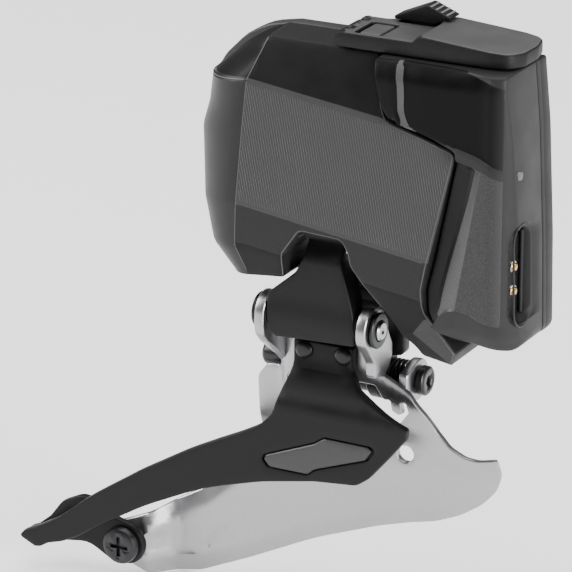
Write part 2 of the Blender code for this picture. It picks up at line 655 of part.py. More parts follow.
def outer_cage_plate():
    top = [(-93.7, -65.1), (-92.5, -63.5), (-88.7, -61.8), (-83.8, -58.9), (-79.0, -55.0)]
    top += [(-74.9, -51.8), (-69.5, -47.8), (-63.3, -44.0), (-58.8, -41.0), (-51.8, -37.1)]
    top += [(-44.8, -33.5), (-39.7, -31.0), (-35.3, -28.6), (-32.4, -25.6), (-31.2, -21.6)]
    top += [(-30.9, -18.0), (-30.9, -11.0)]
    right = [(-17.4, -11.0), (-17.4, -16.0), (-15.2, -18.6), (-12.4, -19.5), (-8.8, -20.9)]
    right += [(-4.5, -22.5), (-2.0, -23.7), (-1.5, -24.8), (-2.7, -26.9), (-6.3, -31.1)]
    right += [(-10.2, -35.7), (-13.0, -37.5)]
    low = [(-17.0, -38.1), (-22.5, -38.6), (-27.8, -39.5), (-34.6, -41.0), (-41.5, -42.9)]
    low += [(-48.4, -45.1), (-55.4, -48.2), (-62.5, -52.0), (-67.5, -55.0), (-73.8, -58.8)]
    low += [(-79.2, -62.5), (-82.4, -64.1), (-86.2, -65.4), (-88.5, -66.7), (-89.6, -66.8)]
    x_lines = stations((-99.0, 3.0, 4))
    z_lines = stations((-75.0, -23.1, 2), (-23.1, -15.4, 7), (-15.4, -6.0, 1))
    outline = top + right + low
    plate = curved_plate(
        "outer_cage_plate", outline, outer_depth, OUTER_PLATE_THICKNESS, "forged_black", x_lines, z_lines
    )
    flange = [(-93.3, -65.3), (-90.8, -63.1), (-87.9, -60.7), (-84.9, -56.7), (-80.2, -54.4)]
    flange += [(-77.3, -54.6), *arc(TAIL_SCREW, 4.9, 120, -130, 14), (-78.5, -64.6)]
    flange += [(-86.0, -66.0), (-89.6, -66.6)]
    unite(plate, prism("flange", flange, (-21.4, -19.6)))
    fold = [(-93.5, -65.2), (-91.2, -63.4), (-87.2, -65.9), (-89.6, -66.7)]
    unite(plate, prism("fold", fold, (-24.2, -20.4)))
    cut(plate, rod("screw_hole", TAIL_SCREW, (-22.2, -18.0), 2.3, axis="Y"))
    cut(plate, prism("insert_bed", INSERT, (-27.0, -24.2)))
    for x in RIVETS_X:
        cut(plate, rod("rivet_hole", (x, RIVET_Z), (-20.0, -12.0), 1.3, axis="Y", sides=16))
    return plate


def cage_hardware():
    prism("plate_insert", scaled(INSERT, (-21.7, -32.9), 0.955), (-25.3, -24.5), look="forged_black")
    for i, x in enumerate(RIVETS_X):
        profile = [(-19.6, 0), (-19.6, 1.4), (-18.6, 2.2), (-18.5, 1.0), (-14.0, 1.0)]
        profile += [(-14.0, 2.0), (-13.2, 1.6), (-13.2, 0)]
        turned(f"cage_rivet_{i + 1}", profile, (x, RIVET_Z), "steel", "Y", 16)
    head = [(-16.2, 0), (-16.2, 2.0), (-21.7, 2.0), (-21.7, 4.0), (-23.3, 4.0), (-23.7, 3.4), (-23.7, 0)]
    screw = turned("tail_screw", head, TAIL_SCREW, "forged_black", "Y")
    x, z = TAIL_SCREW
    cut(screw, box("slot", (x - 2.2, -25.0, z - 0.45), (x + 2.2, -22.6, z + 0.45)))
    cut(screw, box("cross", (x - 0.45, -25.0, z - 2.2), (x + 0.45, -22.6, z + 2.2)))
    nut = rod("tail_nut", TAIL_SCREW, (-17.0, -15.0), 3.3, axis="Y", sides=6)
    cut(nut, rod("thread", TAIL_SCREW, (-18.0, -14.0), 2.3, axis="Y"))


# ---------------------------------------------------------------- battery


def battery_outline(margin=0.0):
    """The battery's side view, or the same drawn in by a margin."""
    line = [(-7.6, TOP_Z), (-8.0, 48.0), (-7.5, 43.8), (-5.8, 41.4), (1.6, 39.3), (9.5, 36.9)]
    line += [(4.4, 13.4), (2.9, 7.6), (3.1, 3.0), (5.4, -0.6), (7.6, -2.2), (20.4, -3.6)]
    line += [(21.4, -2.0), (21.1, 17.0), (20.0, 40.0), (18.8, TOP_Z)]
    if not margin:
        return line
    moved = []
    for i, (x, z) in enumerate(line):
        ax, az = line[i - 1]
        bx, bz = line[(i + 1) % len(line)]
        nx, nz = az - bz, bx - ax
        length = math.hypot(nx, nz)
        moved.append((x - nx / length * margin * -1, z - nz / length * margin * -1))
    return moved


def battery():
    case = prism("battery_case", battery_outline(), (BATTERY_SIDE_Y, -11.5), look="battery_graphite")
    corner = [(14.5, -27.4), (17.0, -26.6), (19.0, -25.0), (20.2, -22.4), (20.9, -18.0)]
    shave = prism("shave", [*corner, (21.4, -11.0), (30.0, -11.0), (30.0, -30.0)], (-6.0, 56.0), "Z")
    cut(case, shave)
    scoop = [(0.0, 6.0), (6.0, 6.2), (12.6, 34.4), (9.6, 38.4), (4.0, 14.0)]
    low = [(0.0, 6.0), (2.0, -2.5), (8.0, -2.5), (7.0, 2.0), (6.0, 6.2)]
    cut(case, prism("scoop", scoop, (-30.0, -24.2)), prism("low_scoop", low, (-30.0, -24.2)))
    cut(case, prism("cells_room", cell_room(), (-22.8, -10.0)))
    cut(case, prism("wing_room", wing_room(), (-25.4, -10.0)))
    port = [*arc((-21.0, 18.9), 3.4, 0, 180, 8), *arc((-21.0, 5.4), 3.4, 180, 360, 8)]
    cut(case, prism("port", port, (18.2, 26.0), "X"))
    back = prism("battery_back", battery_outline(), BATTERY_BACK_SPAN, look="battery_graphite")
    step = [(13.2, -3.0), (20.4, -3.9), (21.6, -2.0), (21.3, 17.0), (20.2, 40.0), (18.9, TOP_Z)]
    unite(back, prism("step", [*step, (13.2, TOP_Z)], (-10.6, -6.5)))
    box("battery_cell_lower", (11.4, -22.2, 2.6), (16.2, -12.2, 33.4), "cell_wrap")
    box("battery_cell_upper", (-5.2, -24.8, 42.6), (15.8, -12.2, 50.6), "cell_wrap")
    box("battery_board", (9.6, -22.0, 40.9), (17.0, -12.2, 41.9), "circuit_board")
    for i, z in enumerate((43.6, 48.0)):
        cut(back, rod("pad_bed", (0.0, z), (-10.6, -9.0), 2.0, axis="Y", sides=16))
        rod(f"battery_pad_{i + 1}", (0.0, z), (-10.3, -9.85), 1.7, "gold_contact", "Y", 16)
    floor = [*arc((-21.0, 18.9), 3.05, 0, 180, 8), *arc((-21.0, 5.4), 3.05, 180, 360, 8)]
    floor_plate = prism("charge_port", floor, (18.5, 18.9), "X", "battery_graphite")
    for i, z in enumerate((8.7, 13.7)):
        cut(floor_plate, rod("pin_bore", (-21.0, z), (18.0, 19.4), 1.2, sides=16))
        profile = [(18.5, 0), (18.5, 0.9), (19.6, 0.9), (19.9, 0.6), (19.9, 0)]
        turned(f"charge_pin_{i + 1}", profile, (-21.0, z), "gold_contact", sides=16)


def cell_room():
    return [(11.0, 1.4), (16.6, 1.4), (16.6, 24.0), (18.0, 25.0), (18.0, 34.0), (11.0, 34.0)]


def wing_room():
    return [(-5.8, 42.2), (9.0, 40.4), (17.6, 40.2), (17.2, 51.4), (-5.8, 51.4)]


# ---------------------------------------------------------------- latch


def latch():
    low = LATCH_BOTTOM
    side = [(-18.6, low), (19.4, low), (19.4, 55.2), (18.0, 56.2), (0.6, 57.7), (-1.6, 57.6)]
    side += [(-3.4, 56.6), *arc(LATCH_PIN, 1.6, 90, 270, 10)]
    lever = prism("latch_lever", side, (-22.2, -5.6), look="forged_black")
    plan = [(-22.0, -22.2), (13.5, -22.2), (17.0, -21.4), (19.0, -19.0), (19.4, -15.0)]
    plan += [(19.2, -9.6), (17.6, -6.8), (14.4, -5.6), (-9.0, -5.6), (-14.5, -9.0), (-22.0, -9.0)]
    combine(lever, prism("plan", plan, (50.0, 60.0), "Z"), "INTERSECT")
    cut(lever, box("button_window", (-15.9, -20.8, 50.0), (-10.2, -12.7, 60.0)))
    cut(lever, box("catch_slot", (-11.6, -10.2, 50.0), (-3.9, -7.0, 60.0)))
    for y in (-18.0, -11.5):
        cut(lever, box("ear_slot", (-22.0, y - 1.1, 50.0), (-17.1, y + 1.1, 60.0)))
    cut(lever, rod("pin_bore", LATCH_PIN, (-30.0, 0.0), 0.85, axis="Y", sides=12))
    rod("latch_pin", LATCH_PIN, (-21.6, -9.4), 0.55, axis="Y", sides=12)
    wedge = [(-14.0, 57.0), (-5.4, 60.6), (0.2, 58.3), (-1.0, 58.0), (-3.6, 57.0)]
    catch = prism("thumb_catch", wedge, (-10.6, -6.2), look="forged_black")
    unite(catch, box("catch_foot", (-9.1, -9.9, 53.7), (-4.2, -7.3, 57.4)))


HINGED = {
    "outer_link": ("outer_link", "output_shaft", "drive_sector"),
    "inner_link": ("inner_link", "return_spring"),
    "gear": ("reduction_gear",),
    "motor": ("motor_rotor",),
    "cage": (
        "inner_cage_plate",
        "outer_cage_plate",
        "plate_insert",
        "cage_rivet_1",
        "cage_rivet_2",
        "outer_lower_pin",
        "outer_bush_front",
        "outer_bush_rear",
        "inner_lower_screw",
        "inner_pin_nut",
        "tail_screw",
        "tail_nut",
    ),
    "latch": ("latch_lever", "latch_pin", "thumb_catch"),
}


def set_origins():
    """Put each hinged piece's origin on the axis that it turns about."""
    axes = {
        "outer_link": (0.0, *OUTER_TOP),
        "inner_link": (0.0, *INNER_TOP),
        "gear": (0.0, *GEAR_AXIS),
        "motor": (0.0, *MOTOR_AXIS),
        "cage": (0.0, *OUTER_LOW),
        "latch": (LATCH_PIN[0], 0.0, LATCH_PIN[1]),
    }
    for body, names in HINGED.items():
        origin = Vector(axes[body]) * MM
        for name in names:
            piece = bpy.data.objects[name]
            for vertex in piece.data.vertices:
                vertex.co -= origin
            piece.location = origin


def build():
    for leftover in list(bpy.data.objects):
        bpy.data.objects.remove(leftover)
    outer_cover()
    inner_housing()
    cover_seal()
    cover_screws()
    mount_hardware()
    drive_train()
    electronics()
    outer_link()
    inner_link()
    pivots()
    return_spring()
    inner_cage_plate()
    outer_cage_plate()
    cage_hardware()
    battery()
    latch()
    set_origins()


build()
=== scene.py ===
import math

import bmesh
import bpy
import numpy as np
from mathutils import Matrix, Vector
from mathutils.geometry import delaunay_2d_cdt


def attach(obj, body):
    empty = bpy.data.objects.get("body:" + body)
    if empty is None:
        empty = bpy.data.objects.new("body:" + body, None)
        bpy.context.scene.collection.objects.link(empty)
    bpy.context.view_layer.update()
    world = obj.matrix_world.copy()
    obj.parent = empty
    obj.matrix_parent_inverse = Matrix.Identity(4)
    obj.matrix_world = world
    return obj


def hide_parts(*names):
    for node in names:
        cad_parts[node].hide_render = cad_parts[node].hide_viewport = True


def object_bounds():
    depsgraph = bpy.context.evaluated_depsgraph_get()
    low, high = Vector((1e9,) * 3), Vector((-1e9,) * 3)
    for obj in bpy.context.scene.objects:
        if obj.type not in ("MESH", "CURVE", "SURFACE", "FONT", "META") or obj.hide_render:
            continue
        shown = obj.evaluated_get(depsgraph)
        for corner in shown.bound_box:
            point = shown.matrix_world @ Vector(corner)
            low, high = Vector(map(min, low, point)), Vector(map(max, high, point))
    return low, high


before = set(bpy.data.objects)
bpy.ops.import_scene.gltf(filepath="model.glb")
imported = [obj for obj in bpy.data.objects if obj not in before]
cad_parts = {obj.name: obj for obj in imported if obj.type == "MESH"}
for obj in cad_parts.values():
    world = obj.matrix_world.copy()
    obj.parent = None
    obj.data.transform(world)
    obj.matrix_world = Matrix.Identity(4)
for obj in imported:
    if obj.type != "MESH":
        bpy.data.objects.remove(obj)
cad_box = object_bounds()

# ---- outer cover
# The outboard half of the motor housing: a glass-filled nylon moulding, screwed to the inboard plate. Its
# side is faceted, its rear edge is a large rounding, and a bay below leaves room for the links. The panel,
# the upper facet and the two bands under the panel each get a tone of their own. The upper facet is painted
# darker, as painted shade where it faces up, and the panel lighter, as painted light that its ribs catch.

MM = 0.001
SEAM_Y = -9.9
TOP_Z = 53.0
SIDE_BANDS = (  # height at the crease, crease X, side Y, radius of the rear rounding
    (-3.0, -38.0, -23.2, 4.0),
    (3.5, -38.0, -24.0, 4.6),
    (10.4, -39.8, -26.5, 8.0),
    (19.6, -39.0, -27.5, 11.7),
    (33.9, -38.2, -26.4, 14.6),
    (39.0, -37.9, -25.95, 12.9),
    (44.8, -37.5, -25.5, 12.7),
)
CREASE_SOFTNESS = 0.45  # half the width of the turn at a crease
BAND_HEAD_X = -38.0
BAND_FALL = 0.14  # the bands fall this much for each mm away from their head
FOOT_BAND_TOP = 10.85
PANEL_FOOT = 19.15
FACET_FOOT = 44.8
FACET_CREASE_X = -37.5
FACET_BULGE = 5.2
TOP_SIDE_Y = -21.0
TOP_REAR_X = -34.8
TOP_REAR_DEPTH = 10.2  # how far inboard the top's edge turns at the rear


def spot(axis, a, b, along):
    """A point in metres from its two flat coordinates and its place along the axis."""
    place = {"X": (along, a, b), "Y": (a, along, b), "Z": (a, b, along)}[axis]
    return Vector(place) * MM


def linked(name, data):
    """A new object in the scene, at the origin."""
    made = bpy.data.objects.new(name, data)
    bpy.context.scene.collection.objects.link(made)
    return made


def shown(name, bm, material, sharp=30):
    """A closed mesh as an object, shaded smooth except over its creases."""
    bmesh.ops.remove_doubles(bm, verts=bm.verts, dist=2e-6)
    bmesh.ops.recalc_face_normals(bm, faces=bm.faces)
    mesh = bpy.data.meshes.new(name)
    bm.to_mesh(mesh)
    bm.free()
    mesh.materials.append(material)
    mesh.shade_smooth()
    mesh.set_sharp_from_angle(angle=math.radians(sharp))
    return linked(name, mesh)


def settle(made, body, *nodes, slot="moulded_black"):
    """Fix a finished piece to its body, in place of the plain solids it stands for."""
    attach(made, body)
    if nodes:
        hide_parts(*nodes)
    return made


def rounded(corners, pitch=1.5):
    """An outline whose corners (a, b, radius) are turned round and whose long sides are divided."""
    loop = []
    count = len(corners)
    for i, corner in enumerate(corners):
        here = Vector(corner[:2])
        before = Vector(corners[i - 1][:2]) - here
        after = Vector(corners[(i + 1) % count][:2]) - here
        turn = before.angle(after)
        radius = corner[2] if len(corner) > 2 else 0.0
        if radius == 0 or turn > 3.1:  # a sharp corner, or next to none
            loop.append(here)
            continue
        room = 0.48 * min(before.length, after.length)
        reach = min(radius / math.tan(turn / 2), room)
        radius = reach * math.tan(turn / 2)
        middle = here + (before.normalized() + after.normalized()).normalized() * radius / math.sin(turn / 2)
        start = here + before.normalized() * reach - middle
        end = here + after.normalized() * reach - middle
        sweep = math.atan2(start.x * end.y - start.y * end.x, start.dot(end))
        steps = max(2, math.ceil(abs(sweep) / math.radians(15)))  # 15 degrees each
        for k in range(steps + 1):
            angle = sweep * k / steps
            c, s = math.cos(angle), math.sin(angle)
            loop.append(middle + Vector((start.x * c - start.y * s, start.x * s + start.y * c)))
    divided = []
    for p, q in zip(loop, loop[1:] + loop[:1]):
        length = (q - p).length
        if length < 0.02:  # two arcs meet here
            continue
        parts = max(1, math.ceil(length / pitch))
        divided += [p.lerp(q, k / parts) for k in range(parts)]
    return [(p.x, p.y) for p in divided]


def inside(spots, loops):
    """Which spots lie inside an odd number of the loops."""
    odd = np.zeros(len(spots), bool)
    a, b = spots[:, :1], spots[:, 1:]
    for loop in loops:
        x0, y0 = np.array(loop).T
        x1, y1 = np.roll(x0, -1), np.roll(y0, -1)
        rise = np.where(y1 == y0, 1e-9, y1 - y0)
        crossed = ((y0 > b) != (y1 > b)) & (a < (x1 - x0) * (b - y0) / rise + x0)
        odd ^= crossed.sum(1) % 2 == 1
    return odd


def clearance(spots, loops):
    """Each spot's distance from the nearest loop."""
    nearest = np.full(len(spots), 1e9)
    for loop in loops:
        p = np.array(loop)
        along = np.roll(p, -1, axis=0) - p
        away = spots[:, None, :] - p[None]
        share = (away * along).sum(2) / np.maximum((along**2).sum(1), 1e-12)
        foot = along[None] * np.clip(share, 0, 1)[:, :, None]
        nearest = np.minimum(nearest, np.linalg.norm(away - foot, axis=2).min(1))
    return nearest


def drawn_in(loop, distance):
    """The loop moved to its left by a distance, corner by corner."""
    p = np.array(loop)
    forward = np.roll(p, -1, axis=0) - p
    forward /= np.linalg.norm(forward, axis=1)[:, None]
    left = np.stack([-forward[:, 1], forward[:, 0]], 1)
    mitre = left + np.roll(left, 1, axis=0)
    mitre /= np.maximum((mitre * left).sum(1), 0.35)[:, None]
    return p + mitre * distance


def traced_runs(polylines, rims, pitch):
    """Points and links of the crease lines, cut off where they leave the outline."""
    places, links = [], []
    for line in polylines:
        fine = []
        for p, q in zip(line, line[1:]):
            parts = max(1, math.ceil(math.dist(p, q) / (0.9 * pitch)))
            across, up = q[0] - p[0], q[1] - p[1]
            fine += [(p[0] + across * k / parts, p[1] + up * k / parts) for k in range(parts)]
        fine = np.array([*fine, line[-1]])
        kept = inside(fine, rims) & (clearance(fine, rims) > 0.12)
        for i, point in enumerate(fine):
            if kept[i]:
                if i and kept[i - 1]:
                    links.append((len(places) - 1, len(places)))
                places.append(tuple(point))
    return np.array(places or np.zeros((0, 2))), links


def slab(name, outline, front, back, material, **how):
    """A piece cut to an outline, with shaped faces, creases and a small round all along its edges."""
    axis, edge, pitch = how.get("axis", "Y"), how.get("edge", 0.4), how.get("pitch", 2.0)
    place = how.get("place") or (lambda a, b, along: spot(axis, a, b, along))
    front_at = front if callable(front) else lambda a, b: front
    back_at = back if callable(back) else lambda a, b: back
    loops = []
    for i, loop in enumerate([outline, *how.get("holes", ())]):
        area = sum(p[0] * q[1] - q[0] * p[1] for p, q in zip(loop, [*loop[1:], loop[0]]))
        loops.append(list(loop) if (area > 0) == (i == 0) else list(loop)[::-1])
    turns = [math.radians(angle) for angle in (0, 30, 60, 90)]  # the edge's round, in three steps
    rings = [[drawn_in(loop, edge * (1 - math.cos(t))) for t in turns] for loop in loops]
    rims = [ring[-1] for ring in rings]

    low, high = rims[0].min(0), rims[0].max(0)
    a, b = np.meshgrid(np.arange(low[0], high[0], pitch), np.arange(low[1], high[1], pitch))
    a = a + (np.arange(a.shape[0]) % 2)[:, None] * pitch / 2
    loose = np.stack([a.ravel(), b.ravel()], 1)
    loose = loose[inside(loose, rims) & (clearance(loose, rims) > 0.4 * pitch)]
    traced, links = traced_runs(how.get("creases", ()), rims, pitch)
    if len(traced) and len(loose):
        apart = np.linalg.norm(loose[:, None] - traced[None], axis=2).min(1)
        loose = loose[apart > 0.55 * pitch]
    flat, edges = [], []
    for rim in rims:
        start = len(flat)
        flat += [Vector(p) for p in rim]
        edges += [(start + i, start + (i + 1) % len(rim)) for i in range(len(rim))]
    edges += [(len(flat) + i, len(flat) + j) for i, j in links]
    flat += [Vector(p) for p in [*traced, *loose]]
    flat, _, faces, _, _, _ = delaunay_2d_cdt(flat, edges, [], 0, 1e-5)
    centres = np.array([sum((flat[i] for i in f), Vector((0, 0))) / len(f) for f in faces])
    faces = [f for f, kept in zip(faces, inside(centres, rims)) if kept]

    bm = bmesh.new()
    walls = []
    for face_at, sign in ((front_at, 1), (back_at, -1)):
        inward = sign * (1 if front_at(*loops[0][0]) < back_at(*loops[0][0]) else -1)
        sheet = [bm.verts.new(place(p.x, p.y, face_at(p.x, p.y))) for p in flat]
        for f in faces:
            bm.faces.new([sheet[i] for i in f])
        for j, ring in enumerate(rings):
            levels = []
            for t, loop in zip(turns, ring):
                sink = inward * edge * (1 - math.sin(t))
                levels.append([bm.verts.new(place(p[0], p[1], face_at(*p) + sink)) for p in loop])
            walls.append(levels)
    strips = []
    half = len(rings)
    for levels in walls:
        strips += list(zip(levels, levels[1:]))
    strips += [(walls[j][0], walls[half + j][0]) for j in range(half)]
    for first, second in strips:
        for i in range(len(first)):
            k = (i + 1) % len(first)
            bm.faces.new((first[i], first[k], second[k], second[i]))
    bmesh.ops.delete(bm, geom=[v for v in bm.verts if not v.link_faces], context="VERTS")
    return shown(name, bm, material, how.get("sharp", 28))


def made_plain(made):
    """Keep what an object's modifiers give as its own plain mesh."""
    bpy.context.view_layer.update()
    graph = bpy.context.evaluated_depsgraph_get()
    result = bpy.data.meshes.new_from_object(made.evaluated_get(graph))
    made.modifiers.clear()
    old, made.data = made.data, result
    result.name = made.name
    bpy.data.meshes.remove(old)
    return result


def discard(made):
    """Delete a tool or a model that has done its work."""
    spent = made.data
    bpy.data.objects.remove(made)
    bpy.data.meshes.remove(spent)


def cut(target, *tools):
    """Take the tools' shapes out of a piece."""
    for tool in tools:
        step = target.modifiers.new("cut", "BOOLEAN")
        step.operation = "DIFFERENCE"
        step.solver = "EXACT"
        step.object = tool
        made_plain(target)
        discard(tool)


def paint(made, chooser, *materials):
    """Give each face the material that the chooser names from the face's middle, in millimetres."""
    for extra in materials:
        made.data.materials.append(extra)
    for face in made.data.polygons:
        face.material_index = chooser(*(face.center / MM))


def surface(name, colour, rough, metal=0.0, **how):
    """A procedural finish: mottled colour, uneven gloss and a fine grain on Object coordinates."""
    made = bpy.data.materials.new(name)
    made.use_nodes = True
    nodes, links = made.node_tree.nodes, made.node_tree.links
    shader = nodes["Principled BSDF"]
    shader.inputs["Metallic"].default_value = metal
    shader.inputs["Specular IOR Level"].default_value = how.get("specular", 0.5)
    shader.inputs["Coat Weight"].default_value = how.get("coat", 0.0)
    shader.inputs["Coat Roughness"].default_value = how.get("coat_rough", 0.1)
    where = nodes.new("ShaderNodeTexCoord")
    turned = nodes.new("ShaderNodeMapping")
    turned.inputs["Scale"].default_value = how.get("stretch", (1, 1, 1))
    links.new(where.outputs["Object"], turned.inputs["Vector"])

    def noise(scale, detail):
        made_noise = nodes.new("ShaderNodeTexNoise")
        made_noise.inputs["Scale"].default_value = scale
        made_noise.inputs["Detail"].default_value = detail
        links.new(turned.outputs["Vector"], made_noise.inputs["Vector"])
        return made_noise.outputs["Fac"]

    def ramp(source, low, high, start, end):
        span = nodes.new("ShaderNodeMapRange")
        span.inputs["From Min"].default_value = low
        span.inputs["From Max"].default_value = high
        span.inputs["To Min"].default_value = start
        span.inputs["To Max"].default_value = end
        links.new(source, span.inputs["Value"])
        return span.outputs["Result"]

    blend = nodes.new("ShaderNodeMix")
    blend.data_type = "RGBA"
    tint = how.get("mottle", 0.12)
    blend.inputs["A"].default_value = (*(c * (1 - tint) for c in colour), 1)
    blend.inputs["B"].default_value = (*(min(1, c * (1 + tint)) for c in colour), 1)
    speck = noise(how.get("grain", 2600), 2)
    patch = noise(how.get("patch", 140), 3)
    shade = nodes.new("ShaderNodeMath")
    shade.operation = "ADD"
    links.new(ramp(speck, 0.3, 0.7, 0, how.get("speck", 0.6)), shade.inputs[0])
    links.new(ramp(patch, 0.3, 0.7, 0, 1 - how.get("speck", 0.6)), shade.inputs[1])
    links.new(shade.outputs["Value"], blend.inputs["Factor"])
    shown_colour = blend.outputs["Result"]
    if "fade" in how:
        axis, start, end, other = how["fade"]
        split = nodes.new("ShaderNodeSeparateXYZ")
        links.new(where.outputs["Object"], split.inputs["Vector"])
        drift = nodes.new("ShaderNodeMix")
        drift.data_type = "RGBA"
        drift.inputs["B"].default_value = (*other, 1)
        links.new(ramp(split.outputs[axis], start * MM, end * MM, 0, 1), drift.inputs["Factor"])
        links.new(shown_colour, drift.inputs["A"])
        shown_colour = drift.outputs["Result"]
    links.new(shown_colour, shader.inputs["Base Color"])
    uneven = how.get("uneven", 0.06)
    links.new(ramp(patch, 0.3, 0.7, rough - uneven, rough + uneven), shader.inputs["Roughness"])
    bump = nodes.new("ShaderNodeBump")
    bump.inputs["Strength"].default_value = how.get("bump", 0.25)
    bump.inputs["Distance"].default_value = how.get("depth", 0.00004)
    links.new(speck, bump.inputs["Height"])
    links.new(bump.outputs["Normal"], shader.inputs["Normal"])
    return made


# The upper facet's darker tone is painted shade and the panel's lighter grey is painted light; the cover is
# one black moulding.
shell_black = surface("shell_black", (0.014, 0.014, 0.0145), 0.42, specular=0.25, bump=0.2)
facet_black = surface("facet_black", (0.005, 0.005, 0.0054), 0.5, specular=0.16, bump=0.35, mottle=0.3)
lower_black = surface("lower_black", (0.015, 0.015, 0.0155), 0.5, specular=0.18, bump=0.3, mottle=0.2)
foot_black = surface("foot_black", (0.006, 0.006, 0.0063), 0.5, specular=0.15, bump=0.3, mottle=0.2)
panel_grey = surface("panel_grey", (0.036, 0.036, 0.037), 0.5, specular=0.25, bump=0.2)


def band_at(height):
    """Crease X, side Y and rear radius at a band height, softened over each crease."""
    heights = [band[0] for band in SIDE_BANDS]
    near = [height - CREASE_SOFTNESS, height, height + CREASE_SOFTNESS]
    return [np.interp(near, heights, [band[k] for band in SIDE_BANDS]).mean() for k in (1, 2, 3)]


def band_drop(x):
    """How far the bands have fallen at x."""
    return BAND_FALL * abs(x - BAND_HEAD_X)


def cover_point(s, w, proud=0.0):
    """X, Y, Z on the outer face: s runs along it, round the rear rounding too, and w is the band height."""
    crease, side, radius = band_at(min(w, FACET_FOOT))
    turn = min(max(0.0, crease - s) / radius, math.pi / 2)
    x = max(s, crease) - (radius + proud) * math.sin(turn)
    y = side + radius - (radius + proud) * math.cos(turn)
    z = min(w, FACET_FOOT) - band_drop(x)
    rise = max(0.0, (w - FACET_FOOT) / (TOP_Z - FACET_FOOT))
    share = turn / (math.pi / 2)
    if rise > 0:
        top_x = TOP_REAR_X - 0.7 * share if s < crease else s + 2.7 * max(0.0, 1 - (s - crease) / 12)
        top_y = TOP_SIDE_Y + TOP_REAR_DEPTH * share - proud
        bulge = FACET_BULGE * rise * (1 - rise) * share**2
        x = (1 - rise) * x + rise * top_x - 0.5 * bulge
        y = (1 - rise) * y + rise * top_y
        z = (1 - rise) * z + rise * TOP_Z + 0.8 * bulge
    return x, y + corner_depth(x, z), z


CORNER = (-1.1, -2.8)  # X and Z where the three facets of the lower front corner meet


def corner_depth(x, z):
    """How far the facets at the cover's lower front corner fall back from its side."""
    ahead, above = x - CORNER[0], z - CORNER[1]
    over_fold = 0.552 * ahead + 0.834 * above
    under_step = 0.778 * ahead - 0.628 * above
    under_brow = 0.325 * ahead - 0.946 * above
    if over_fold > 0:
        return max(0.0, min(0.13 * over_fold, 0.3 * under_step))
    return 0.55 * max(0.0, min(-over_fold, under_brow))


def unrolled(x, z):
    """The s and w of a place on the flat side."""
    foot = FACET_FOOT - band_drop(x)
    if z <= foot:
        return x, z + FACET_FOOT - foot
    return x, FACET_FOOT + (z - foot) / (TOP_Z - foot) * (TOP_Z - FACET_FOOT)


def rear_end(w):
    """Where the rear rounding ends at a band height."""
    crease, _, radius = band_at(min(w, FACET_FOOT))
    return crease - radius * math.pi / 2, w


battery_line = [(-10.5, TOP_Z), (-9.3, 48.0, 9), (-8.2, 43.4, 5), (-6.3, 40.6, 3), (1.4, 38.4, 9)]
battery_line += [(8.4, 36.3, 1.1), (3.6, 13.6, 9), (2.1, 7.4, 5), (2.3, 2.6, 6), (4.4, -1.5, 5)]
battery_line += [(8.0, -6.0, 0.8)]
bay_line = [(7.2, -8.5, 0.6), (-0.3, -8.5, 1.2), (-4.2, -2.9, 2), (-13.8, 10.0, 3), (-14.2, 12.7, 1.5)]
bay_line += [(-15.4, 15.2, 1.5), (-24.7, 15.6, 2), (-28.8, 10.0, 1.5), (-29.3, 4.4, 1.5), (-38.0, 3.2, 2)]
flat_line = [(*unrolled(*corner[:2]), *corner[2:]) for corner in battery_line + bay_line]
rear_line = [rear_end(w) for w in np.arange(3.4, 44.0, 1.3)] + [rear_end(FACET_FOOT), rear_end(TOP_Z)]
cover_outline = rounded(flat_line + rear_line, 1.1)

band_lines = []
for height in (3.5, 10.4, 19.6, 33.9, FACET_FOOT):
    for offset in (-CREASE_SOFTNESS, CREASE_SOFTNESS):
        band_lines.append([(-58.0, height + offset), (9.0, height + offset)])
crease_line = [(band_at(w)[0], w) for w in np.arange(3.0, FACET_FOOT, 0.9)]
crease_line += [(FACET_CREASE_X, FACET_FOOT), (FACET_CREASE_X, TOP_Z)]
CORNER_FOLDS = ((0.834, -0.552, 10), (0.628, 0.778, 5), (-0.946, -0.325, 4), (0.955, 0.296, 5))
corner_lines = []
for ahead, above, length in CORNER_FOLDS:
    steps = np.arange(0.0, length, 0.8)
    corner_lines.append([unrolled(CORNER[0] + ahead * k, CORNER[1] + above * k) for k in steps])
cover = slab(
    "outer_cover_shell", cover_outline, lambda s, w: cover_point(s, w)[1], SEAM_Y, shell_black,
    place=lambda s, w, along: Vector((cover_point(s, w)[0], along, cover_point(s, w)[2])) * MM,
    creases=[*band_lines, crease_line, *corner_lines], edge=0.45, pitch=1.3, sharp=15,
)


def cover_zone(x, y, z):
    """Which tone a patch of the cover gets: 0 shell, 1 panel, 2 upper facet, 3 lower band, 4 foot band."""
    height = z + band_drop(x)
    crease = band_at(min(height, FACET_FOOT))[0]
    if x > -36.5 and y > TOP_SIDE_Y + 0.1:
        return 3
    # The upper facet's darker tone is painted shade, where it faces up.
    if height > FACET_FOOT + 0.4:
        return 2
    if x < crease + 0.1:
        return 0
    # The panel's lighter grey is painted light, for the light that its ribs catch.
    if height > PANEL_FOOT:
        return 1
    # The facet at the lower front corner also gets the panel's lighter grey: painted light where it lies in
    # shade.
    ahead, above = x - CORNER[0], z - CORNER[1]
    if 0.552 * ahead + 0.834 * above > 0 and 0.778 * ahead - 0.628 * above > 0.1:
        return 1
    return 3 if height > FOOT_BAND_TOP else 4


paint(cover, cover_zone, panel_grey, facet_black, lower_black, foot_black)
ROOMS = (  # for the outer link and the two lugs: rear X, foot, front X, roof, corner radius, outboard Y
    (-26.6, 8, -15.6, 20.9, 2, -25),
    (-33.9, -5, -27.9, 7.8, 1, -13),
    (-10.8, -5, -4.9, 9.1, 1, -13),
)
for back_x, foot, front_x, roof, radius, outboard in ROOMS:
    room = rounded([(back_x, foot), (front_x, foot), (front_x, roof, radius), (back_x, roof, radius)])
    cut(cover, slab("room", room, outboard, 0, shell_black))
settle(cover, "housing", "outer_cover")

